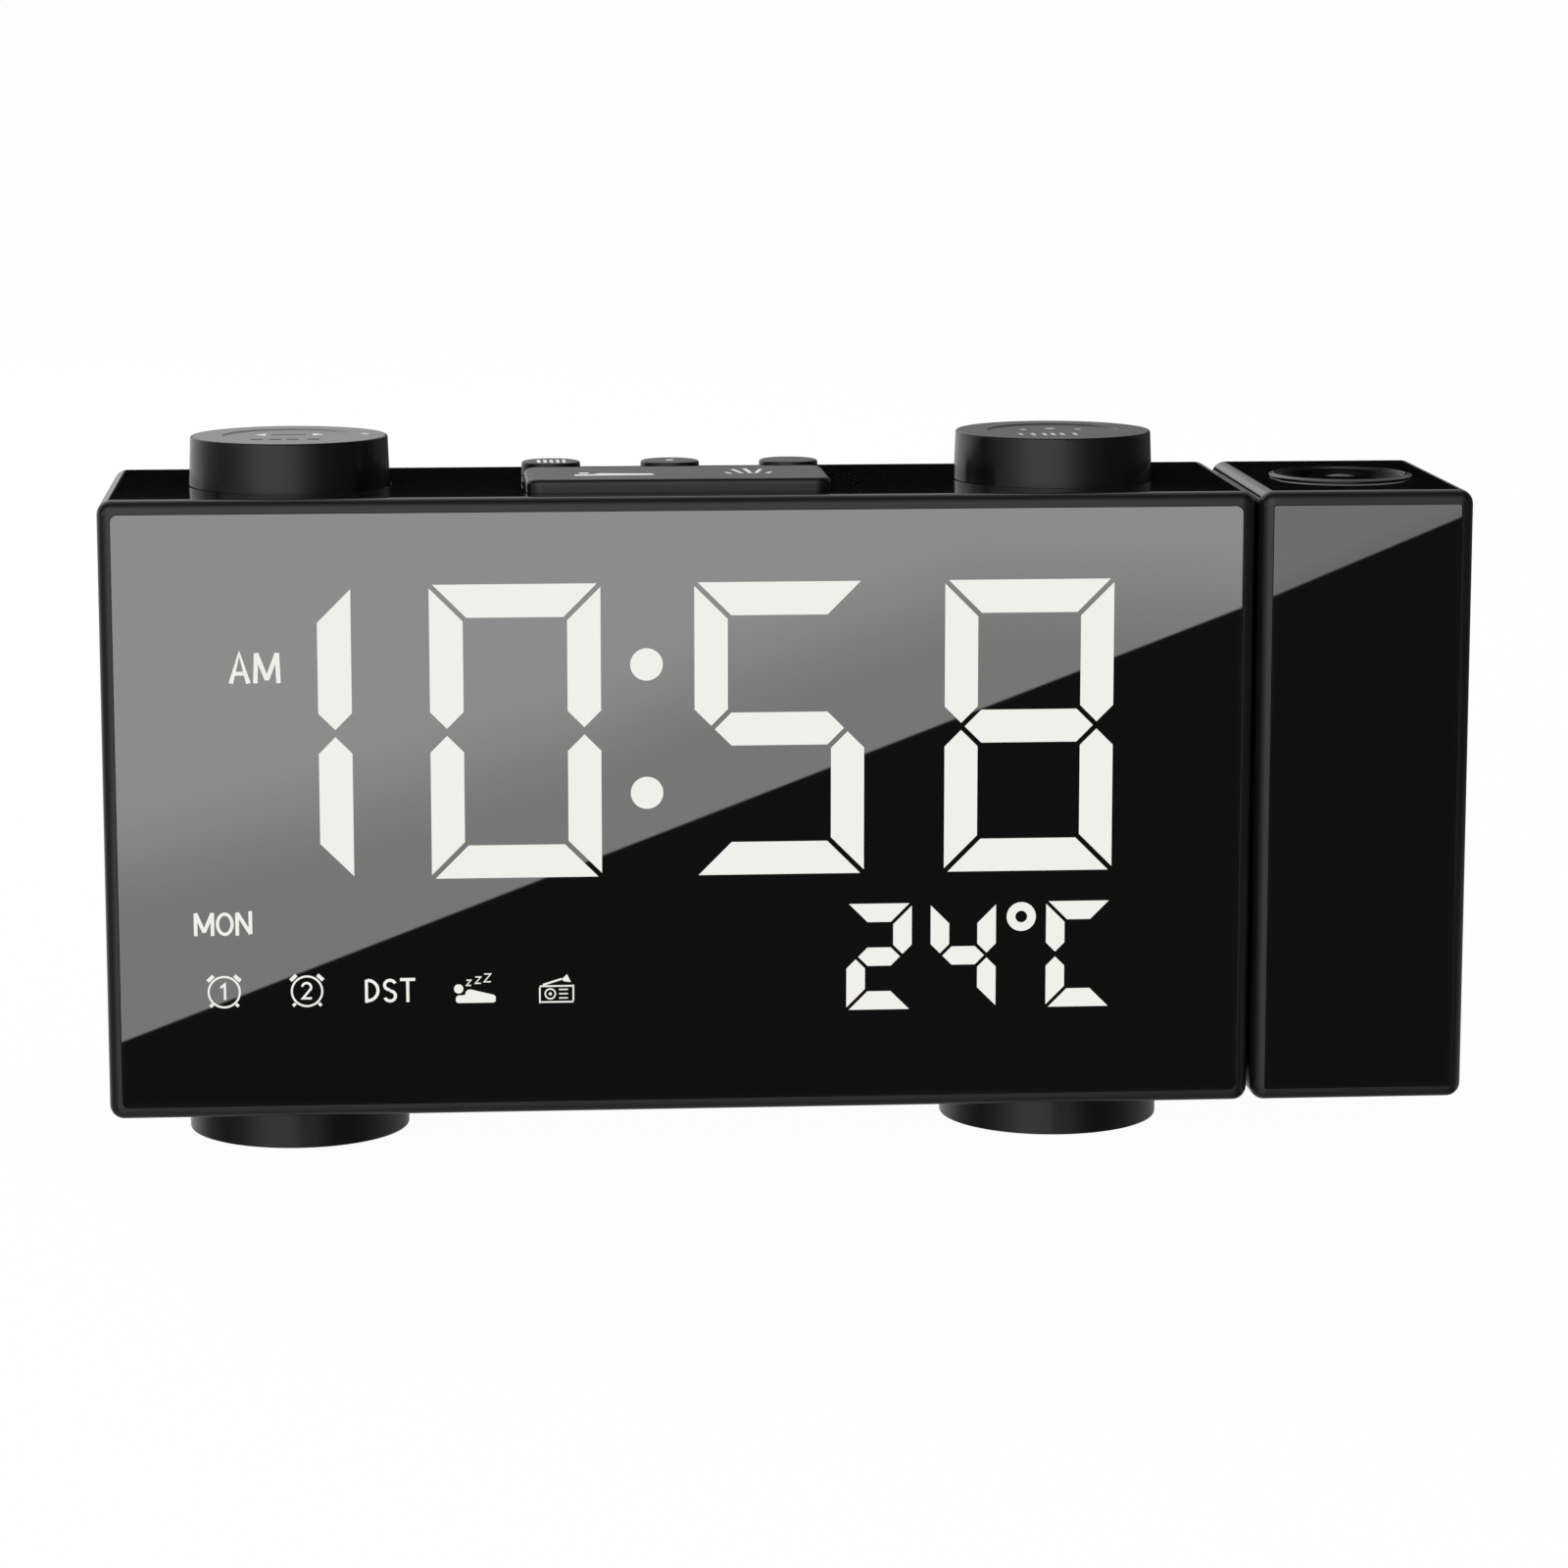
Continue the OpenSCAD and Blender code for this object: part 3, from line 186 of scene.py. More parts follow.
def finish(name, **constants):
    """New material: its wire, and its Principled shader with the constants set on its own sockets."""
    material = bpy.data.materials.new(name)
    material.use_nodes = True
    tree = material.node_tree
    shader = tree.nodes["Principled BSDF"]
    for socket, value in constants.items():
        shader.inputs[socket.replace("_", " ")].default_value = value
    return material, Wire(tree), shader


def feed(shader, socket, wire):
    """Links a wire to one of the shader's sockets."""
    wire.tree.links.new(wire.socket, shader.inputs[socket])


# ---------- Finishes of the parts ----------

def polished_black(name="polished_black"):
    """Deep black moulding polished to a gloss, with faint cloudiness in the polish."""
    material, wire, shader = finish(name, IOR=1.5)
    feed(shader, "Base Color", wire.grain(9).shade((0.0060, 0.0060, 0.0062), (0.0080, 0.0080, 0.0083)))
    feed(shader, "Roughness", 0.022 + 0.016 * wire.grain(14, 4))
    feed(shader, "Normal", wire.grain(3.5, 3).bump(0.0005))
    return material


def satin_black(name="satin_black", dark=0.010, light=0.019, rough=0.34):
    """Fine spark-eroded grain on black moulding."""
    material, wire, shader = finish(name, IOR=1.5)
    fine = wire.grain(0.35, 3)
    feed(shader, "Base Color", fine.shade((dark,) * 3, (light, light, light * 1.04)))
    feed(shader, "Roughness", rough + 0.10 * wire.grain(6, 3))
    feed(shader, "Normal", fine.bump(0.012))
    return material


def mixed(wire, share, first, second):
    """Colour from first to second by a mask."""
    return wire.add("ShaderNodeMix", {"data_type": "RGBA"}, {0: share, 6: first, 7: second}, out=2)


def black_with_painted_top_light(name, top_mask, painted_top_light, dot_mask=None):
    """Smooth black moulding; where top_mask is 1 a satin top painted paler, a painted sheen for the light
    the satin catches; where dot_mask is 1 a white dot.
    """
    material, wire, shader = finish(name, IOR=1.5)
    top = top_mask(wire)
    fine = wire.grain(0.3, 3)
    side = fine.shade((0.0034, 0.0034, 0.0035), (0.0058, 0.0058, 0.0060))
    # Painted light: the top's colour is far paler than the black sides, standing in for the sheen its satin
    # catches.
    face = fine.shade((painted_top_light * 0.85,) * 3, (painted_top_light * 1.15,) * 3)
    paint = mixed(wire, top, side, face)
    if dot_mask:
        paint = mixed(wire, dot_mask(wire), paint, fine.shade((0.80,) * 3, (0.92,) * 3))
    feed(shader, "Base Color", paint)
    side_rough = 0.16 + 0.05 * wire.grain(5, 3)
    face_rough = 0.30 + 0.06 * fine
    feed(shader, "Roughness", side_rough * (1 - top) + face_rough * top)
    feed(shader, "Normal", (fine * (0.2 + 0.8 * top)).bump(0.004))
    return material


def above_height(height):
    """Mask of the part of a piece above a height in mm."""
    return lambda wire: (wire.place()[2] / mm).rise(height - 0.01, height + 0.01)


def round_face(x, y, radius, height):
    """Mask of a round face about an upright axis, above a height, all in mm."""
    def mask(wire):
        px, py, pz = (c / mm for c in wire.place())
        away = ((px - x) ** 2.0 + (py - y) ** 2.0) ** 0.5
        return (1 - away.rise(radius - 0.03, radius + 0.03)) * pz.rise(height - 0.01, height + 0.01)
    return mask


def focus_ring_black(name="focus_ring_black"):
    """Gloss on the ring's rim and ridge; matt near-black metal within the throat, which mirrors almost
    nothing: painted shade standing in for the shade deep in the hollow.
    """
    material, wire, shader = finish(name, IOR=1.5)
    x, y, z = wire.place()
    axis = middle("focus_ring")
    throat = 8.95
    away = ((x / mm - float(axis[0])) ** 2.0 + (y / mm - float(axis[1])) ** 2.0) ** 0.5
    inside = 1 - away.rise(throat, throat + 0.15)
    # Painted shade: within the throat the colour goes to near-black metal, darker in reflection than the
    # moulding, for the shade of a deeper hollow.
    feed(shader, "Base Color", (inside * 0.7 + wire.grain(0.5) * 0.3).shade((0.006,) * 3, (0.012,) * 3))
    feed(shader, "Metallic", inside)
    feed(shader, "Roughness", 0.05 + 0.03 * wire.grain(2) + 0.30 * inside)
    return material


def mirror_pane(name="mirror_pane"):
    """Half-mirror behind smoked acrylic: a dark metal face with a barely clouded gloss."""
    material, wire, shader = finish(name, Metallic=1.0)
    feed(shader, "Base Color", wire.grain(40, 1).shade((0.260, 0.260, 0.260), (0.264, 0.264, 0.264)))
    feed(shader, "Roughness", 0.004 + 0.004 * wire.grain(20, 2))
    return material


def moulded(name, dark, light, rough, size=1.2, depth=0.01, **constants):
    """Plain moulded plastic or paint with a mottled tone and a light grain."""
    material, wire, shader = finish(name, **constants)
    spots = wire.grain(size, 3)
    feed(shader, "Base Color", spots.shade(dark, light))
    feed(shader, "Roughness", rough + 0.12 * wire.grain(size * 4, 3))
    feed(shader, "Normal", spots.bump(depth))
    return material


def worked_metal(name, dark, light, rough, size=0.25):
    """Plated or machined metal with fine tool marks across it."""
    material, wire, shader = finish(name, Metallic=1.0)
    streaks = wire.add("ShaderNodeTexNoise", None, {
        "Vector": wire.add("ShaderNodeMapping", None,
                           {0: wire.add("ShaderNodeTexCoord", out="Object"), 3: (1.0, 1.0, 6.0)}),
        "Scale": 1000 / size / 6, "Detail": 3.0})
    feed(shader, "Base Color", streaks.shade(dark, light))
    feed(shader, "Roughness", rough + 0.15 * streaks)
    feed(shader, "Normal", streaks.bump(0.004))
    return material


def circuit_board(name="circuit_board"):
    """Green lacquered board with paler copper tracks showing through."""
    material, wire, shader = finish(name)
    x, y, z = wire.place()
    tracks = (x * 2200 + wire.grain(9, 0) * 9).math("SINE").rise(0.80, 0.90)
    cross = (z * 2500 + y * 2500 + wire.grain(7, 0) * 9).math("SINE").rise(0.80, 0.90)
    feed(shader, "Base Color", tracks.most(cross).shade((0.010, 0.075, 0.028), (0.030, 0.160, 0.060)))
    feed(shader, "Roughness", 0.28 + 0.10 * wire.grain(3))
    return material


def clear_glass(name="clear_glass"):
    """Ground lens with an anti-glare coating of a faint blue bloom, drawn opaque and near-black: painted
    shade standing in for the dark barrel seen through the clear glass.
    """
    material, wire, shader = finish(name, IOR=1.22, Metallic=0.0)
    # Painted shade: the near-black colour stands for the dark barrel behind the clear lens.
    feed(shader, "Base Color", wire.grain(5).shade((0.008, 0.010, 0.013), (0.014, 0.017, 0.021)))
    feed(shader, "Roughness", 0.03 + 0.02 * wire.grain(3))
    return material


def make_finishes():
    """One finish for each material slot of the record."""
    return {
        "black_gloss": polished_black(),
        "black_satin": satin_black(),
        "mirror_window": mirror_pane(),
        "diffuser_white": moulded("frosted_white", (0.74, 0.74, 0.71), (0.82, 0.82, 0.79), 0.45),
        "reflector_black": moulded("well_black", (0.008, 0.008, 0.008), (0.016, 0.016, 0.017), 0.55),
        "screw_steel": worked_metal("screw_steel", (0.34, 0.35, 0.36), (0.55, 0.56, 0.57), 0.22),
        "led_body": moulded("led_resin", (0.70, 0.64, 0.42), (0.82, 0.78, 0.60), 0.30),
        "board_green": circuit_board(),
        "chip_black": moulded("chip_resin", (0.016, 0.016, 0.017), (0.028, 0.028, 0.030), 0.50, 0.4),
        "plunger_cream": moulded("cream_acetal", (0.60, 0.55, 0.44), (0.70, 0.65, 0.55), 0.40),
        "encoder_metal": worked_metal("encoder_metal", (0.42, 0.43, 0.44), (0.60, 0.61, 0.62), 0.30),
        "contact_gold": worked_metal("contact_gold", (0.62, 0.44, 0.12), (0.86, 0.66, 0.28), 0.22),
        "rubber": moulded("foot_rubber", (0.010, 0.010, 0.010), (0.022, 0.022, 0.022), 0.72, 0.5, 0.03),
        "speaker_steel": worked_metal("speaker_steel", (0.20, 0.21, 0.22), (0.34, 0.35, 0.36), 0.35),
        "paper_black": moulded("cone_paper", (0.014, 0.013, 0.012), (0.036, 0.034, 0.032), 0.85, 0.6, 0.06),
        "socket_steel": worked_metal("socket_steel", (0.50, 0.51, 0.52), (0.70, 0.71, 0.72), 0.20),
        "cell_steel": worked_metal("cell_steel", (0.48, 0.48, 0.49), (0.66, 0.66, 0.67), 0.26),
        "bead_epoxy": moulded("bead_epoxy", (0.34, 0.09, 0.03), (0.48, 0.15, 0.06), 0.30, 0.5),
        "washer_nylon": moulded("washer_nylon", (0.66, 0.65, 0.60), (0.76, 0.75, 0.70), 0.42),
        "axle_alloy": worked_metal("axle_alloy", (0.40, 0.41, 0.42), (0.58, 0.59, 0.60), 0.28),
        "spring_steel": worked_metal("spring_steel", (0.34, 0.34, 0.36), (0.52, 0.52, 0.54), 0.22),
        "lcd_glass": moulded("lcd_glass", (0.030, 0.060, 0.052), (0.044, 0.080, 0.068), 0.08, 2.0, 0.0005),
        "lens_clear": clear_glass(),
        "lead_jacket": moulded("lead_jacket", (0.010, 0.010, 0.010), (0.020, 0.020, 0.021), 0.45, 0.6),
    }


knob_face_radius = 13.45
below_the_dish = 0.3
dot_x, dot_y, dot_radius = 10.6, 0.9, 0.6
over_the_clock = 1000.0


def dress_parts():
    """A finish on every slot of every part: its slot's own, or the special one of its node."""
    finishes = make_finishes()
    knob_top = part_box("left_knob")[1][2] / mm
    bar_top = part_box("snooze_bar")[1][2] / mm
    special = {
        # Painted sheen: above the bar's top height this finish is painted paler than its black sides; the
        # keys share it.
        "snooze_bar": black_with_painted_top_light("bar_black", above_height(bar_top - 0.02), 0.034),
        "left_foot": black_with_painted_top_light("foot_black", above_height(over_the_clock), 0.03),
        "focus_ring": focus_ring_black(),
        "lens_barrel": polished_black("barrel_gloss"),
    }
    special["right_foot"] = special["left_foot"]
    # Painted light: the knobs are one black moulding, but the left knob's top is painted far paler than the
    # right's, for the light that falls on it from the left.
    for name, tone in (("left_knob", 0.195), ("right_knob", 0.050)):
        x, y = (float(c) for c in middle(name)[:2])
        face = round_face(x, y, knob_face_radius, knob_top - below_the_dish)
        dot = round_face(x + dot_x, y + dot_y, dot_radius, knob_top - 0.05) if name == "left_knob" else None
        special[name] = black_with_painted_top_light(name + "_black", face, tone, dot)
    for name in ("left_button", "middle_button", "right_button"):
        special[name] = special["snooze_bar"]
    for name, part in nodes.items():
        for place in part.material_slots:
            place.material = special.get(name, finishes[slots[name]])


# ---------- Surfaces ----------

def put_mesh(name, points, faces, rim=None):
    """Object at the origin from points in metres and lists of corner numbers."""
    mesh = bpy.data.meshes.new(name)
    mesh.from_pydata(np.asarray(points, float).tolist(), [], faces)
    mesh.update()
    if rim is not None:
        mesh.attributes.new("rim", "FLOAT", "POINT").data.foreach_set("value", np.asarray(rim, np.float32))
    piece = bpy.data.objects.new(name, mesh)
    bpy.context.scene.collection.objects.link(piece)
    return piece


def slab(outline, edge_mm, thick_mm):
    """Thin solid on an outline (N x 2, mm, anticlockwise as read), front face at depth 0, back at thick_mm.

    Its front has an inner outline drawn in by edge_mm: each corner moves along the sum of its two edge
    normals, n1 + n2, divided by 1 + n1.n2. Returns points (u, depth, v), faces and rim values."""
    p = np.asarray(outline, float)
    count = len(p)
    ahead = np.roll(p, -1, 0) - p
    ahead /= np.linalg.norm(ahead, axis=1)[:, None]
    normal = np.stack([-ahead[:, 1], ahead[:, 0]], 1)
    before = np.roll(normal, 1, 0)
    inner = p + edge_mm * (normal + before) / (1 + (normal * before).sum(1))[:, None]
    layers = [(inner, 0.0, 0.0), (p, 0.0, 1.0), (p, thick_mm, 1.0)]
    points = np.concatenate([np.column_stack([q[:, 0], np.full(count, d), q[:, 1]]) for q, d, _ in layers])
    rim = np.concatenate([np.full(count, r) for _, _, r in layers])
    i = np.arange(count)
    j = (i + 1) % count
    faces = [i.tolist()]
    for a, b in ((count, 0), (2 * count, count)):
        faces += np.stack([i + a, j + a, j + b, i + b], 1).tolist()
    faces.append((i[::-1] + 2 * count).tolist())
    return points, faces, rim


def slabs(name, outlines, to_part, edge_mm, thick_mm):
    """One piece of many slabs; to_part turns (u, depth, v) in mm into the part's metres."""
    points, faces, rims, base = [], [], [], 0
    for outline in outlines:
        p, f, r = slab(outline, edge_mm, thick_mm)
        points.append(to_part(p))
        rims.append(r)
        faces += [[k + base for k in face] for face in f]
        base += len(p)
    return put_mesh(name, np.concatenate(points), faces, np.concatenate(rims))


def disc(x, z, radius, count=40):
    """Outline of a circle: (x + r cos t, z + r sin t)."""
    t = np.linspace(0, 2 * np.pi, count, endpoint=False)
    return np.column_stack([x + radius * np.cos(t), z + radius * np.sin(t)])


def bow(x, z, radius, width, start, end, count=16, tall=1.0):
    """Outline of an arc band of the given width, from one angle to the other in degrees.

    tall stretches its middle line: (x + r cos t, z + tall r sin t), shifted half the width each way."""
    t = np.radians(np.linspace(start, end, count))
    way = np.column_stack([np.cos(t), np.sin(t)])
    line = np.array([x, z]) + radius * way * (1, tall)
    return np.concatenate([line + way * width / 2, (line - way * width / 2)[::-1]])


def ring(x, z, radius, width, tall=1.0):
    """Closed band as two half bows."""
    return [bow(x, z, radius, width, a, a + 180, 20, tall) for a in (0, 180)]


def trace(points, width):
    """Outline of a stroke of even width along straight legs through the points.

    Each point moves along the sum of its two leg normals, n1 + n2, divided by 1 + n1.n2, or by 0.4 at a
    sharp corner; one side is read forwards and the other back."""
    p = np.asarray(points, float)
    ahead = np.diff(p, axis=0)
    ahead /= np.linalg.norm(ahead, axis=1)[:, None]
    normal = np.stack([-ahead[:, 1], ahead[:, 0]], 1)
    before, after = np.vstack([normal[:1], normal]), np.vstack([normal, normal[-1:]])
    side = (before + after) / np.maximum(1 + (before * after).sum(1), 0.4)[:, None] * width / 2
    return np.concatenate([p - side, (p + side)[::-1]])


def legs(points, width):
    """One stroke for each straight leg, so that sharp corners keep their full width."""
    return [trace(pair, width) for pair in zip(points, points[1:])]


# ---------- Lit display ----------

pane_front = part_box("display_window")[0][1] / mm
case_left, _, case_foot = (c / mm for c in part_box("main_housing")[0])
digit_w, digit_h, digit_stroke, digit_gap = 23.5, 40.9, 4.6, 0.5
small_w, small_h, small_stroke, small_gap = 9.15, 15.05, 2.6, 0.35
lit_proud, lit_thick = 0.04, 0.03
figures = {"0": "abcdef", "1": "bc", "2": "abged", "3": "abgcd", "4": "fgbc", "5": "afgcd",
           "6": "afgedc", "7": "abc", "8": "abcdefg", "9": "abcdfg", "C": "afed"}


def strokes(w, h, t, s):
    """The strokes a to g of a character as outlines: 45 degree mitres, parted by s along each side."""
    m, u = h / 2, t / 2
    return {
        "a": [[s, h], [t + s, h - t], [w - t - s, h - t], [w - s, h]],
        "b": [[w, h - s], [w - t, h - t - s], [w - t, m + u + s], [w - u, m + s], [w, m + u + s]],
        "c": [[w, s], [w, m - u - s], [w - u, m - s], [w - t, m - u - s], [w - t, t + s]],
        "d": [[s, 0], [w - s, 0], [w - t - s, t], [t + s, t]],
        "e": [[0, s], [t, t + s], [t, m - u - s], [u, m - s], [0, m - u - s]],
        "f": [[0, h - s], [0, m + u + s], [u, m + s], [t, m + u + s], [t, h - t - s]],
        "g": [[u + s, m], [t + s, m - u], [w - t - s, m - u],
              [w - u - s, m], [w - t - s, m + u], [t + s, m + u]],
    }


def figure(character, x, z, w, h, t, gap):
    """Outlines of one character with its lower left corner at (x, z)."""
    parts = strokes(w, h, t, gap)
    return [np.array(parts[k]) + (x, z) for k in figures[character]]


def on_pane(p):
    """Slab points onto the pane's face, a hair proud of it."""
    return (p + (case_left, pane_front - lit_proud, case_foot)) * mm


def light_finish():
    """Light shining through the pane: even over a stroke, a little brighter along its rim."""
    material, wire, shader = finish("lit_white", Emission_Strength=1.0, IOR=1.0, Base_Color=(0, 0, 0, 1))
    rim = wire.add("ShaderNodeAttribute", {"attribute_name": "rim"}, out="Fac")
    tone = rim.rise(0.2, 0.9) * 0.7 + wire.grain(3) * 0.3
    feed(shader, "Emission Color", tone.shade((0.868, 0.864, 0.818), (0.896, 0.892, 0.852)))
    return material


def make_display():
    """Time, temperature and small signs, placed from the case's lower left front corner in mm."""
    time = []
    for character, x in (("1", 10.8), ("0", 45.0), ("5", 81.4), ("8", 116.1)):
        time += figure(character, x, 33.6, digit_w, digit_h, digit_stroke, digit_gap)
    time += [disc(74.79, z, 2.25) for z in (63.19, 45.27)]
    small = []
    for character, x in (("2", 102.5), ("4", 114.3), ("C", 130.5)):
        small += figure(character, x, 14.15, small_w, small_h, small_stroke, small_gap)
    small += ring(127.01, 27.08, 1.44, 1.22)
    lit = light_finish()
    for name, outlines, edge in (
            ("lit_time", time, 0.12), ("lit_temperature", small, 0.08), ("lit_signs", signs(), 0.02)):
        piece = slabs(name, outlines, on_pane, edge, lit_thick)
        piece.data.materials.append(lit)
        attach(piece, "case")


def signs():
    """Small lit signs: half-day, day, two alarms, summer time, sleep and radio."""
    out = [trace([(17.85, 61.15), (19.05, 65.3), (20.25, 61.15)], 0.62),
           trace([(18.3, 62.5), (19.8, 62.5)], 0.52),
           *legs([(21.2, 61.15), (21.35, 65.3), (22.77, 61.6), (24.2, 65.3), (24.35, 61.15)], 0.6)]
    out += [*legs([(12.4, 26.0), (12.4, 29.2), (13.55, 26.5), (14.7, 29.2), (14.7, 26.0)], 0.5),
            *ring(16.4, 27.62, 1.0, 0.45, 1.42),
            *legs([(18.1, 26.0), (18.1, 29.2), (19.92, 26.2), (19.92, 29.4)], 0.5)]
    out += [trace([(35.75, 16.25), (35.75, 19.5)], 0.42), bow(35.9, 17.97, 1.44, 0.42, -90, 90),
            bow(39.0, 18.7, 0.75, 0.42, 20, 270, 14, 0.9),
            bow(39.0, 17.15, 0.75, 0.42, -160, 90, 14, 0.95),
            trace([(40.4, 19.45), (42.5, 19.45)], 0.42), trace([(41.45, 16.25), (41.45, 19.25)], 0.42)]
    out += alarm_clock_sign(16.15, 18.05, 2.15) + alarm_clock_sign(27.55, 18.0, 2.1)
    out += [trace([(15.65, 18.65), (16.25, 19.15), (16.25, 16.95)], 0.34)]
    out += [bow(27.5, 18.55, 0.62, 0.32, -30, 170, 12),
            trace([(28.05, 18.3), (26.95, 17.0), (28.2, 17.0)], 0.32)]
    out += [disc(48.5, 18.0, 0.65, 20), sleeper_outline()]
    out += [letter_z(x, z, size)
            for x, z, size in ((49.9, 18.85, 0.75), (51.2, 19.2, 0.9), (52.5, 19.5, 1.1))]
    out += [trace([(59.9, 15.95), (64.4, 15.95)], 0.22), trace([(59.75, 18.2), (64.25, 18.2)], 0.22),
            trace([(59.75, 15.8), (59.75, 18.05)], 0.22), trace([(64.4, 16.1), (64.4, 18.35)], 0.22),
            *ring(61.2, 17.1, 0.7, 0.2), disc(61.2, 17.1, 0.22, 14)]
    out += [trace([(62.4, z), (63.65, z)], 0.18) for z in (16.5, 17.1, 17.7)]
    out += [trace([(60.2, 18.4), (62.8, 19.2)], 0.26),
            np.array([(62.8, 19.15), (63.1, 18.85), (64.05, 18.75), (63.55, 19.85)])]
    return out


def alarm_clock_sign(x, z, radius):
    """Round clock face with two bells and two feet."""
    return (ring(x, z, radius, 0.28)
            + [trace([(x + s * 2.25, z + 1.55), (x + s * 1.45, z + 2.3)][::s], 0.5) for s in (-1, 1)]
            + [trace([(x + s * 1.6, z - 1.7), (x + s * 1.95, z - 2.05)], 0.42) for s in (-1, 1)])


def sleeper_outline():
    """Body under a blanket, drawn from its shoulders to its feet and back along the bed."""
    return np.array([
        (48.45, 16.0), (53.35, 16.0), (53.6, 16.2), (53.62, 16.85), (53.35, 17.1), (52.9, 17.2),
        (50.2, 17.88), (49.8, 17.86), (49.5, 17.6), (49.38, 17.12), (48.4, 17.05), (48.12, 16.8),
        (48.08, 16.35), (48.2, 16.1)])


def letter_z(x, z, size):
    """Small z with its middle at (x, z)."""
    a, b = size * 0.42, size * 0.5
    return trace([(x - a, z + b), (x + a, z + b), (x - a, z - b), (x + a, z - b)], 0.17)


# ---------- Printed marks ----------

def on_top(height):
    """Slab points onto a level face at the given height, in mm: (u, v, height - depth)."""
    return lambda p: np.column_stack([p[:, 0], p[:, 2], height - p[:, 1]]) * mm


def ink(name, dark, light):
    """Pad-printed ink, thin over the grain below it."""
    return moulded(name, (dark,) * 3, (light,) * 3, 0.45, 0.4, 0.003)


dish_depth = 0.2
ink_proud, ink_thick, ink_edge = 0.02, 0.04, 0.02


def make_marks():
    """Marks printed on the knobs, bar and keys, a hair proud of the faces they lie on."""
    white, grey = ink("ink_white", 0.80, 0.95), ink("ink_grey", 0.46, 0.62)
    dark = ink("ink_dark", 0.030, 0.050)
    left, right = middle("left_knob")[0], middle("right_knob")[0]
    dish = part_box("left_knob")[1][2] / mm - dish_depth + ink_proud
    bar_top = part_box("snooze_bar")[1][2] / mm + ink_proud
    key_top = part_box("left_button")[1][2] / mm + ink_proud
    left_key, key_y = middle("left_button")[:2]
    middle_key = middle("middle_button")[0]
    rays = [trace([(-5.0, -9.4), (-5.5, -3.2)], 0.55)]
    for s in (-1, 1):
        rays += [trace([(-5.25 + s * 1.0, -9.4), (-5.25 + s * 2.0, -4.2)], 0.5),
                 trace([(-5.25 + s * 2.5, -9.9), (-5.25 + s * 3.2, -8.2)], 0.5)]
    bed = [np.array([(-29.6, -11.4), (-18.5, -11.0), (-18.8, -9.2),
                     (-26.2, -8.4), (-26.8, -9.6), (-29.6, -9.8)]),
           disc(-28.2, -8.0, 0.75, 20)]
    pointers = [np.array([(left + s * 4.9, 2.2), (left + s * 3.3, 0.6), (left + s * 3.3, 3.8)][::s])
                for s in (-1, 1)]
    dashes = [trace([(left + dx - 0.8, -4.6), (left + dx + 0.8, -4.6)], 1.5)
              for dx in (-4.4, -1.8, 0.6, 3.5)]
    dashes.append(trace([(left - 2.5, 2.2), (left + 2.3, 2.2)], 0.9))
    ticks = [trace([(right + dx, -6.6), (right + dx, -3.4)], 0.55)
             for dx in (-5.1, -3.4, -1.8, -0.6, 0.7, 2.5)]
    dots = [disc(right + dx, y, radius, 20)
            for dx, y, radius in ((-3.9, 2.2, 0.5), (0.0, 3.4, 0.75), (3.9, 2.2, 0.5))]
    key_bars = [trace([(left_key + dx, key_y - 2.7), (left_key + dx, key_y + 1.2)], 0.46)
                for dx in (-1.75, -0.85, 0.05, 0.95, 1.85)]
    for name, outlines, height, body, tone in (
            ("bar_marks", rays + bed, bar_top, "snooze", white),
            ("left_knob_pointers", pointers, dish, "left_dial", white),
            ("left_knob_dashes", dashes, dish, "left_dial", dark),
            ("right_knob_marks", ticks + dots, dish, "right_dial", grey),
            ("left_key_marks", key_bars, key_top, "left_key", white),
            ("middle_key_marks", [disc(middle_key, key_y, 0.6, 20)], key_top, "middle_key", white)):
        piece = slabs(name, outlines, on_top(height), ink_edge, ink_thick)
        piece.data.materials.append(tone)
        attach(piece, body)


# ---------- Set ----------

def lamp(name, place, aim, size, watts):
    """Square soft lamp that lights surfaces but isn't mirrored in them."""
    light = bpy.data.lights.new(name, "AREA")
    light.size, light.energy = size, watts
    thing = bpy.data.objects.new(name, light)
    bpy.context.scene.collection.objects.link(thing)
    back = np.array(place, float) - np.array(aim, float)
    back /= np.linalg.norm(back)
    side = np.cross((0, 0, 1.0), back)
    side /= np.linalg.norm(side)
    matrix = np.eye(4)
    matrix[:3, 0], matrix[:3, 1], matrix[:3, 2], matrix[:3, 3] = side, np.cross(back, side), back, place
    thing.matrix_world = Matrix(matrix)
    thing.visible_glossy = False


def glowing(name, paint):
    """Material that only shines: paint gets a wire and returns the strength or colour."""
    material = bpy.data.materials.new(name)
    material.use_nodes = True
    tree = material.node_tree
    tree.nodes.clear()
    wire = Wire(tree)
    out = tree.nodes.new("ShaderNodeOutputMaterial")
    shine = wire.add("ShaderNodeEmission", None, {"Strength": paint(wire)})
    tree.links.new(shine.socket, out.inputs["Surface"])
    material.cycles.emission_sampling = "NONE"
    return material


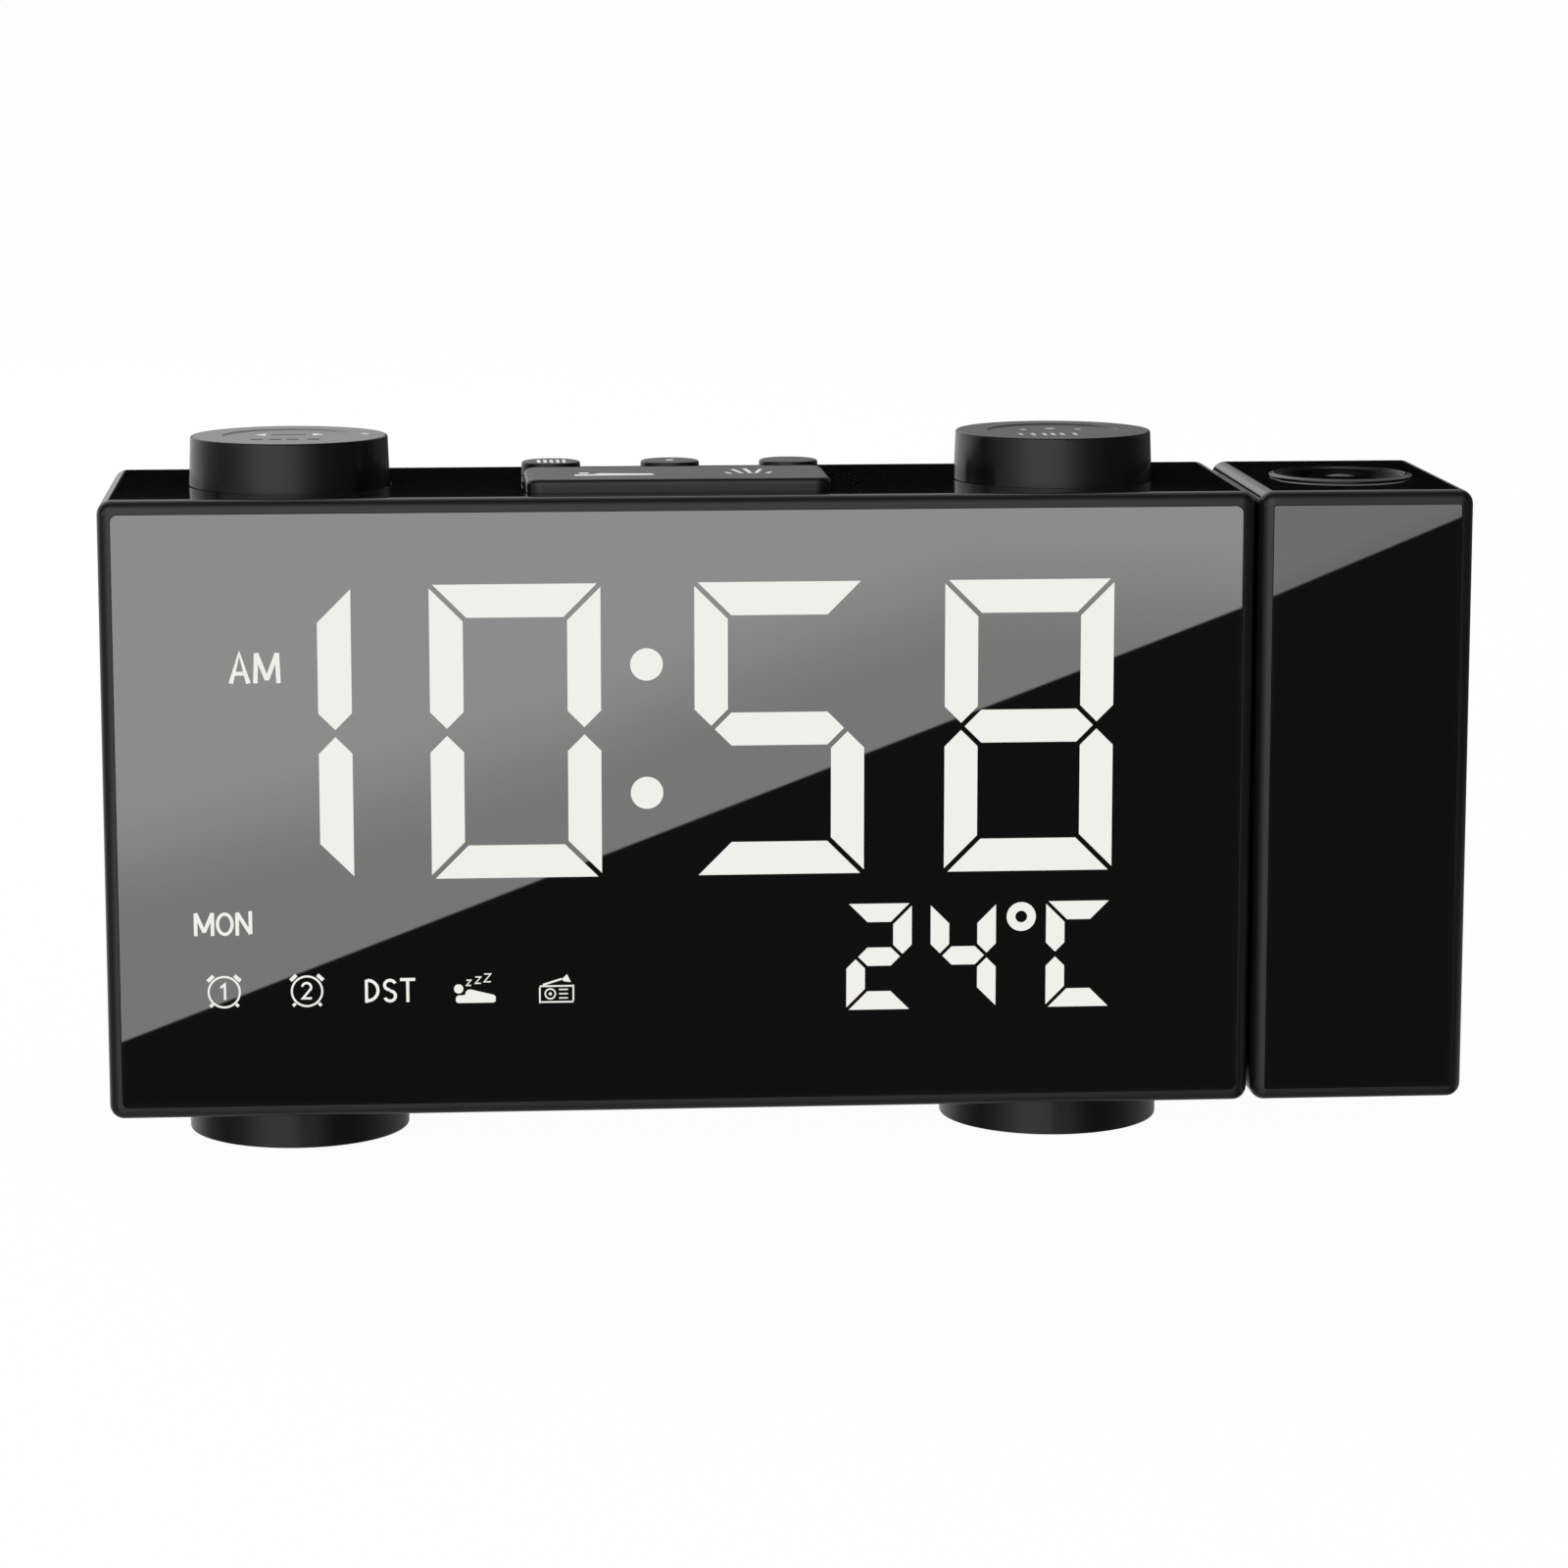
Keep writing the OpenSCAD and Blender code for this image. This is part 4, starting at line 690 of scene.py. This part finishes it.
def window_light(x, y, z):
    """Light that the windows mirror to the eye: a soft box above a slanting edge, a black card below it.

    A point of the tent is carried back along the line to the eye's mirror image, onto the panes' face.
    There it is measured in mm from the case's lower left corner. Returns the brightness and the
    windows' mask."""
    mirrored_y = 2 * pane_front * mm - eye[1]
    share = (pane_front * mm - mirrored_y) / (y - mirrored_y)
    across = (eye[0] + share * (x - eye[0])) / mm - case_left
    high = (eye[2] + share * (z - eye[2])) / mm - case_foot
    ahead = 1 - y.rise(-2.0, -1.0)

    def on_window(node):
        (x0, _, z0), (x1, _, z1) = (np.array(corner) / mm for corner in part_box(node))
        return (across.within(x0 - case_left, x1 - case_left, 0.3, 0.3)
                * high.within(z0 - case_foot, z1 - case_foot, 0.3, 0.3) * ahead)

    def above(x0, z0, x1, z1):
        return high - z0 - (across - x0) * ((z1 - z0) / (x1 - x0))

    main_edge, head_edge = above(2.03, 11.28, 157.43, 70.28), above(161.92, 71.87, 187.84, 82.57)
    half_height = 100 * across.table(
        (5, 0.373), (43, 0.472), (66, 0.536), (84, 0.614), (120, 0.737), (158, 0.724))
    main_light = 0.69 + 0.31 * (high - half_height).rise(-11, 11)
    main_light = 0.02 + main_edge.rise(-0.2, 0.2) * (main_light - 0.02)
    head_light = 0.02 + head_edge.rise(-0.2, 0.2) * (0.51 + 0.054 * head_edge.rise(0.5, 3.0))
    main, head = on_window("display_window"), on_window("projector_window")
    return main * main_light + head * head_light, main + head


tent_radius = 30.0


def tent_pattern(wire):
    """Brightness of the tent by direction: soft boxes in front, behind and at the left, else black cards.

    lean is the angle to the right, over the angle from the front over the top, bearing the compass angle
    from the front, positive to the right, and up the height, all in degrees."""
    x, y, z = wire.place()
    turn = 180 / math.pi
    up = (z / tent_radius).math("ARCSINE") * turn
    lean = (x / tent_radius).math("ARCSINE") * turn
    over = z.math("ARCTAN2", -y) * turn
    bearing = x.math("ARCTAN2", -y) * turn
    arch = over.table(
        (-91, 0.25), (-80, 0.24), (-62, 0.42), (-43, 0.58), (-23, 0.60), (-10, 0.90), (0, 1.00), (46, 1.02),
        (58, 0.76), (73, 0.26), (86, 0.08), (98, 0.09), (115, 0.34), (124, 0.58), (135, 0.78), (155, 0.74),
        (166, 0.52), (171.2, 0.52), (172.8, 0.0), (175.4, 0.0), (176.8, 0.42), (179, 0.46))
    sides = lean.table(
        (-90, 0.4), (-50, 0.7), (-30, 1.18), (-4, 1.20), (4, 1.04), (8, 0.90), (12, 0.74), (17, 0.60),
        (20, 0.47), (29, 0.30), (38, 0.15), (60, 0.08), (90, 0.06))
    rear_sides = lean.table(
        (-90, 0.5), (-20, 1.5), (-6, 1.55), (-1.6, 1.45), (1.2, 1.12), (2.6, 0.95), (8, 0.76), (13, 0.5),
        (20, 0.3), (90, 0.1))
    low_rear = over.rise(158, 168)
    dome = arch * (sides + low_rear * (rear_sides - sides))
    dome = dome.most(0.85 * lean.within(-60, -16, 10, 5) * over.rise(150, 165))
    level = bearing.table(
        (-180, 0.46), (-172, 0.50), (-166, 0.84), (-152, 0.72), (-143, 0.84), (-122, 0.72), (-113, 0.48),
        (-103, 0.36), (-92, 0.28), (-82, 0.19), (-62, 0.40), (-53, 0.62), (-34, 1.12), (-20, 1.16),
        (-1, 1.04), (8, 0.84), (20, 0.44), (29, 0.28), (38, 0.14), (60, 0.06), (90, 0.05), (108, 0.09),
        (128, 0.12), (148, 0.08), (165, 0.06), (174, 0.3))
    floor_glow = bearing.table(
        (40, 0.10), (60, 0.12), (80, 0.24), (98, 0.34), (118, 0.38), (150, 0.30), (176, 0.30))
    right_half = bearing.rise(30, 45)
    level = level * up.table((-35, 0.56), (-22, 0.62), (-12, 0.80), (-5, 1.0))
    level = level.most(floor_glow * right_half * (1 - up.rise(-13, -7)))
    belt = up.within(-32, 0.6, 12, 2.0)
    light = dome + belt * (level - dome)
    shown, windows = window_light(x, y, z)
    return light * (1 - windows) + shown


def make_tent():
    """Ball round the clock that only mirror-like rays see: (r sin p cos t, r sin p sin t, r cos p)."""
    rows, columns = 24, 48
    p = np.linspace(0, np.pi, rows + 1)[1:-1, None]
    t = np.linspace(0, 2 * np.pi, columns, endpoint=False)[None, :]
    grid = np.stack(np.broadcast_arrays(np.sin(p) * np.cos(t), np.sin(p) * np.sin(t), np.cos(p)), -1)
    points = np.concatenate([grid.reshape(-1, 3), [[0, 0, 1], [0, 0, -1]]]) * tent_radius
    i = np.arange(rows - 2)[:, None] * columns
    j = np.arange(columns)[None, :]
    k = (j + 1) % columns
    faces = np.stack([i + j, i + k, i + columns + k, i + columns + j], -1).reshape(-1, 4).tolist()
    last = (rows - 2) * columns
    top, foot = len(points) - 2, len(points) - 1
    faces += [[n, (n + 1) % columns, top] for n in range(columns)]
    faces += [[last + (n + 1) % columns, last + n, foot] for n in range(columns)]
    tent = put_mesh("light_tent", points, faces)
    tent.data.materials.append(glowing("tent_light", tent_pattern))
    tent.visible_camera = tent.visible_diffuse = tent.visible_transmission = False
    tent.visible_volume_scatter = tent.visible_shadow = False


def seen_ray(wire):
    """1 for rays from the camera, off gloss or through glass, which show the white set."""
    camera, glossy, through = (wire.add("ShaderNodeLightPath", out=ray)
                               for ray in ("Is Camera Ray", "Is Glossy Ray", "Is Transmission Ray"))
    return camera.most(glossy).most(through)


def make_floor():
    """Pale floor, white to the camera, with a faint shadow under the clock."""
    half = 40.0
    corners = [[-half, -half, 0], [half, -half, 0], [half, half, 0], [-half, half, 0]]
    floor = put_mesh("floor", corners, [[0, 1, 2, 3]])
    material = bpy.data.materials.new("pale_floor")
    material.use_nodes = True
    tree = material.node_tree
    tree.nodes.clear()
    wire = Wire(tree)
    out = tree.nodes.new("ShaderNodeOutputMaterial")
    matt = wire.add("ShaderNodeBsdfDiffuse", None, {"Color": (0.95, 0.95, 0.95, 1)})
    white = wire.add("ShaderNodeEmission", None, {"Color": (1, 1, 1, 1), "Strength": 1.0})
    shown = wire.add("ShaderNodeMixShader", None, {0: seen_ray(wire) * 0.97, 1: matt, 2: white})
    tree.links.new(shown.socket, out.inputs["Surface"])
    floor.data.materials.append(material)
    floor.visible_glossy = False


def light_set():
    """White world for the eye and a plain level of light on surfaces."""
    world = bpy.data.worlds.new("studio")
    bpy.context.scene.world = world
    world.use_nodes = True
    tree = world.node_tree
    wire = Wire(tree)
    back = tree.nodes["Background"]
    back.inputs["Color"].default_value = (1, 1, 1, 1)
    feed(back, "Strength", 0.5 + 0.5 * seen_ray(wire))
    lamp("front_lamp", (-0.7, -1.2, 1.1), (0, 0, 0.05), 0.9, 14)
    lamp("rear_lamp", (-0.5, 1.1, 1.0), (0, 0, 0.05), 0.8, 9)


place_camera()
dress_parts()
make_display()
make_marks()
make_floor()
make_tent()
light_set()
bpy.context.scene.view_settings.view_transform = "Standard"
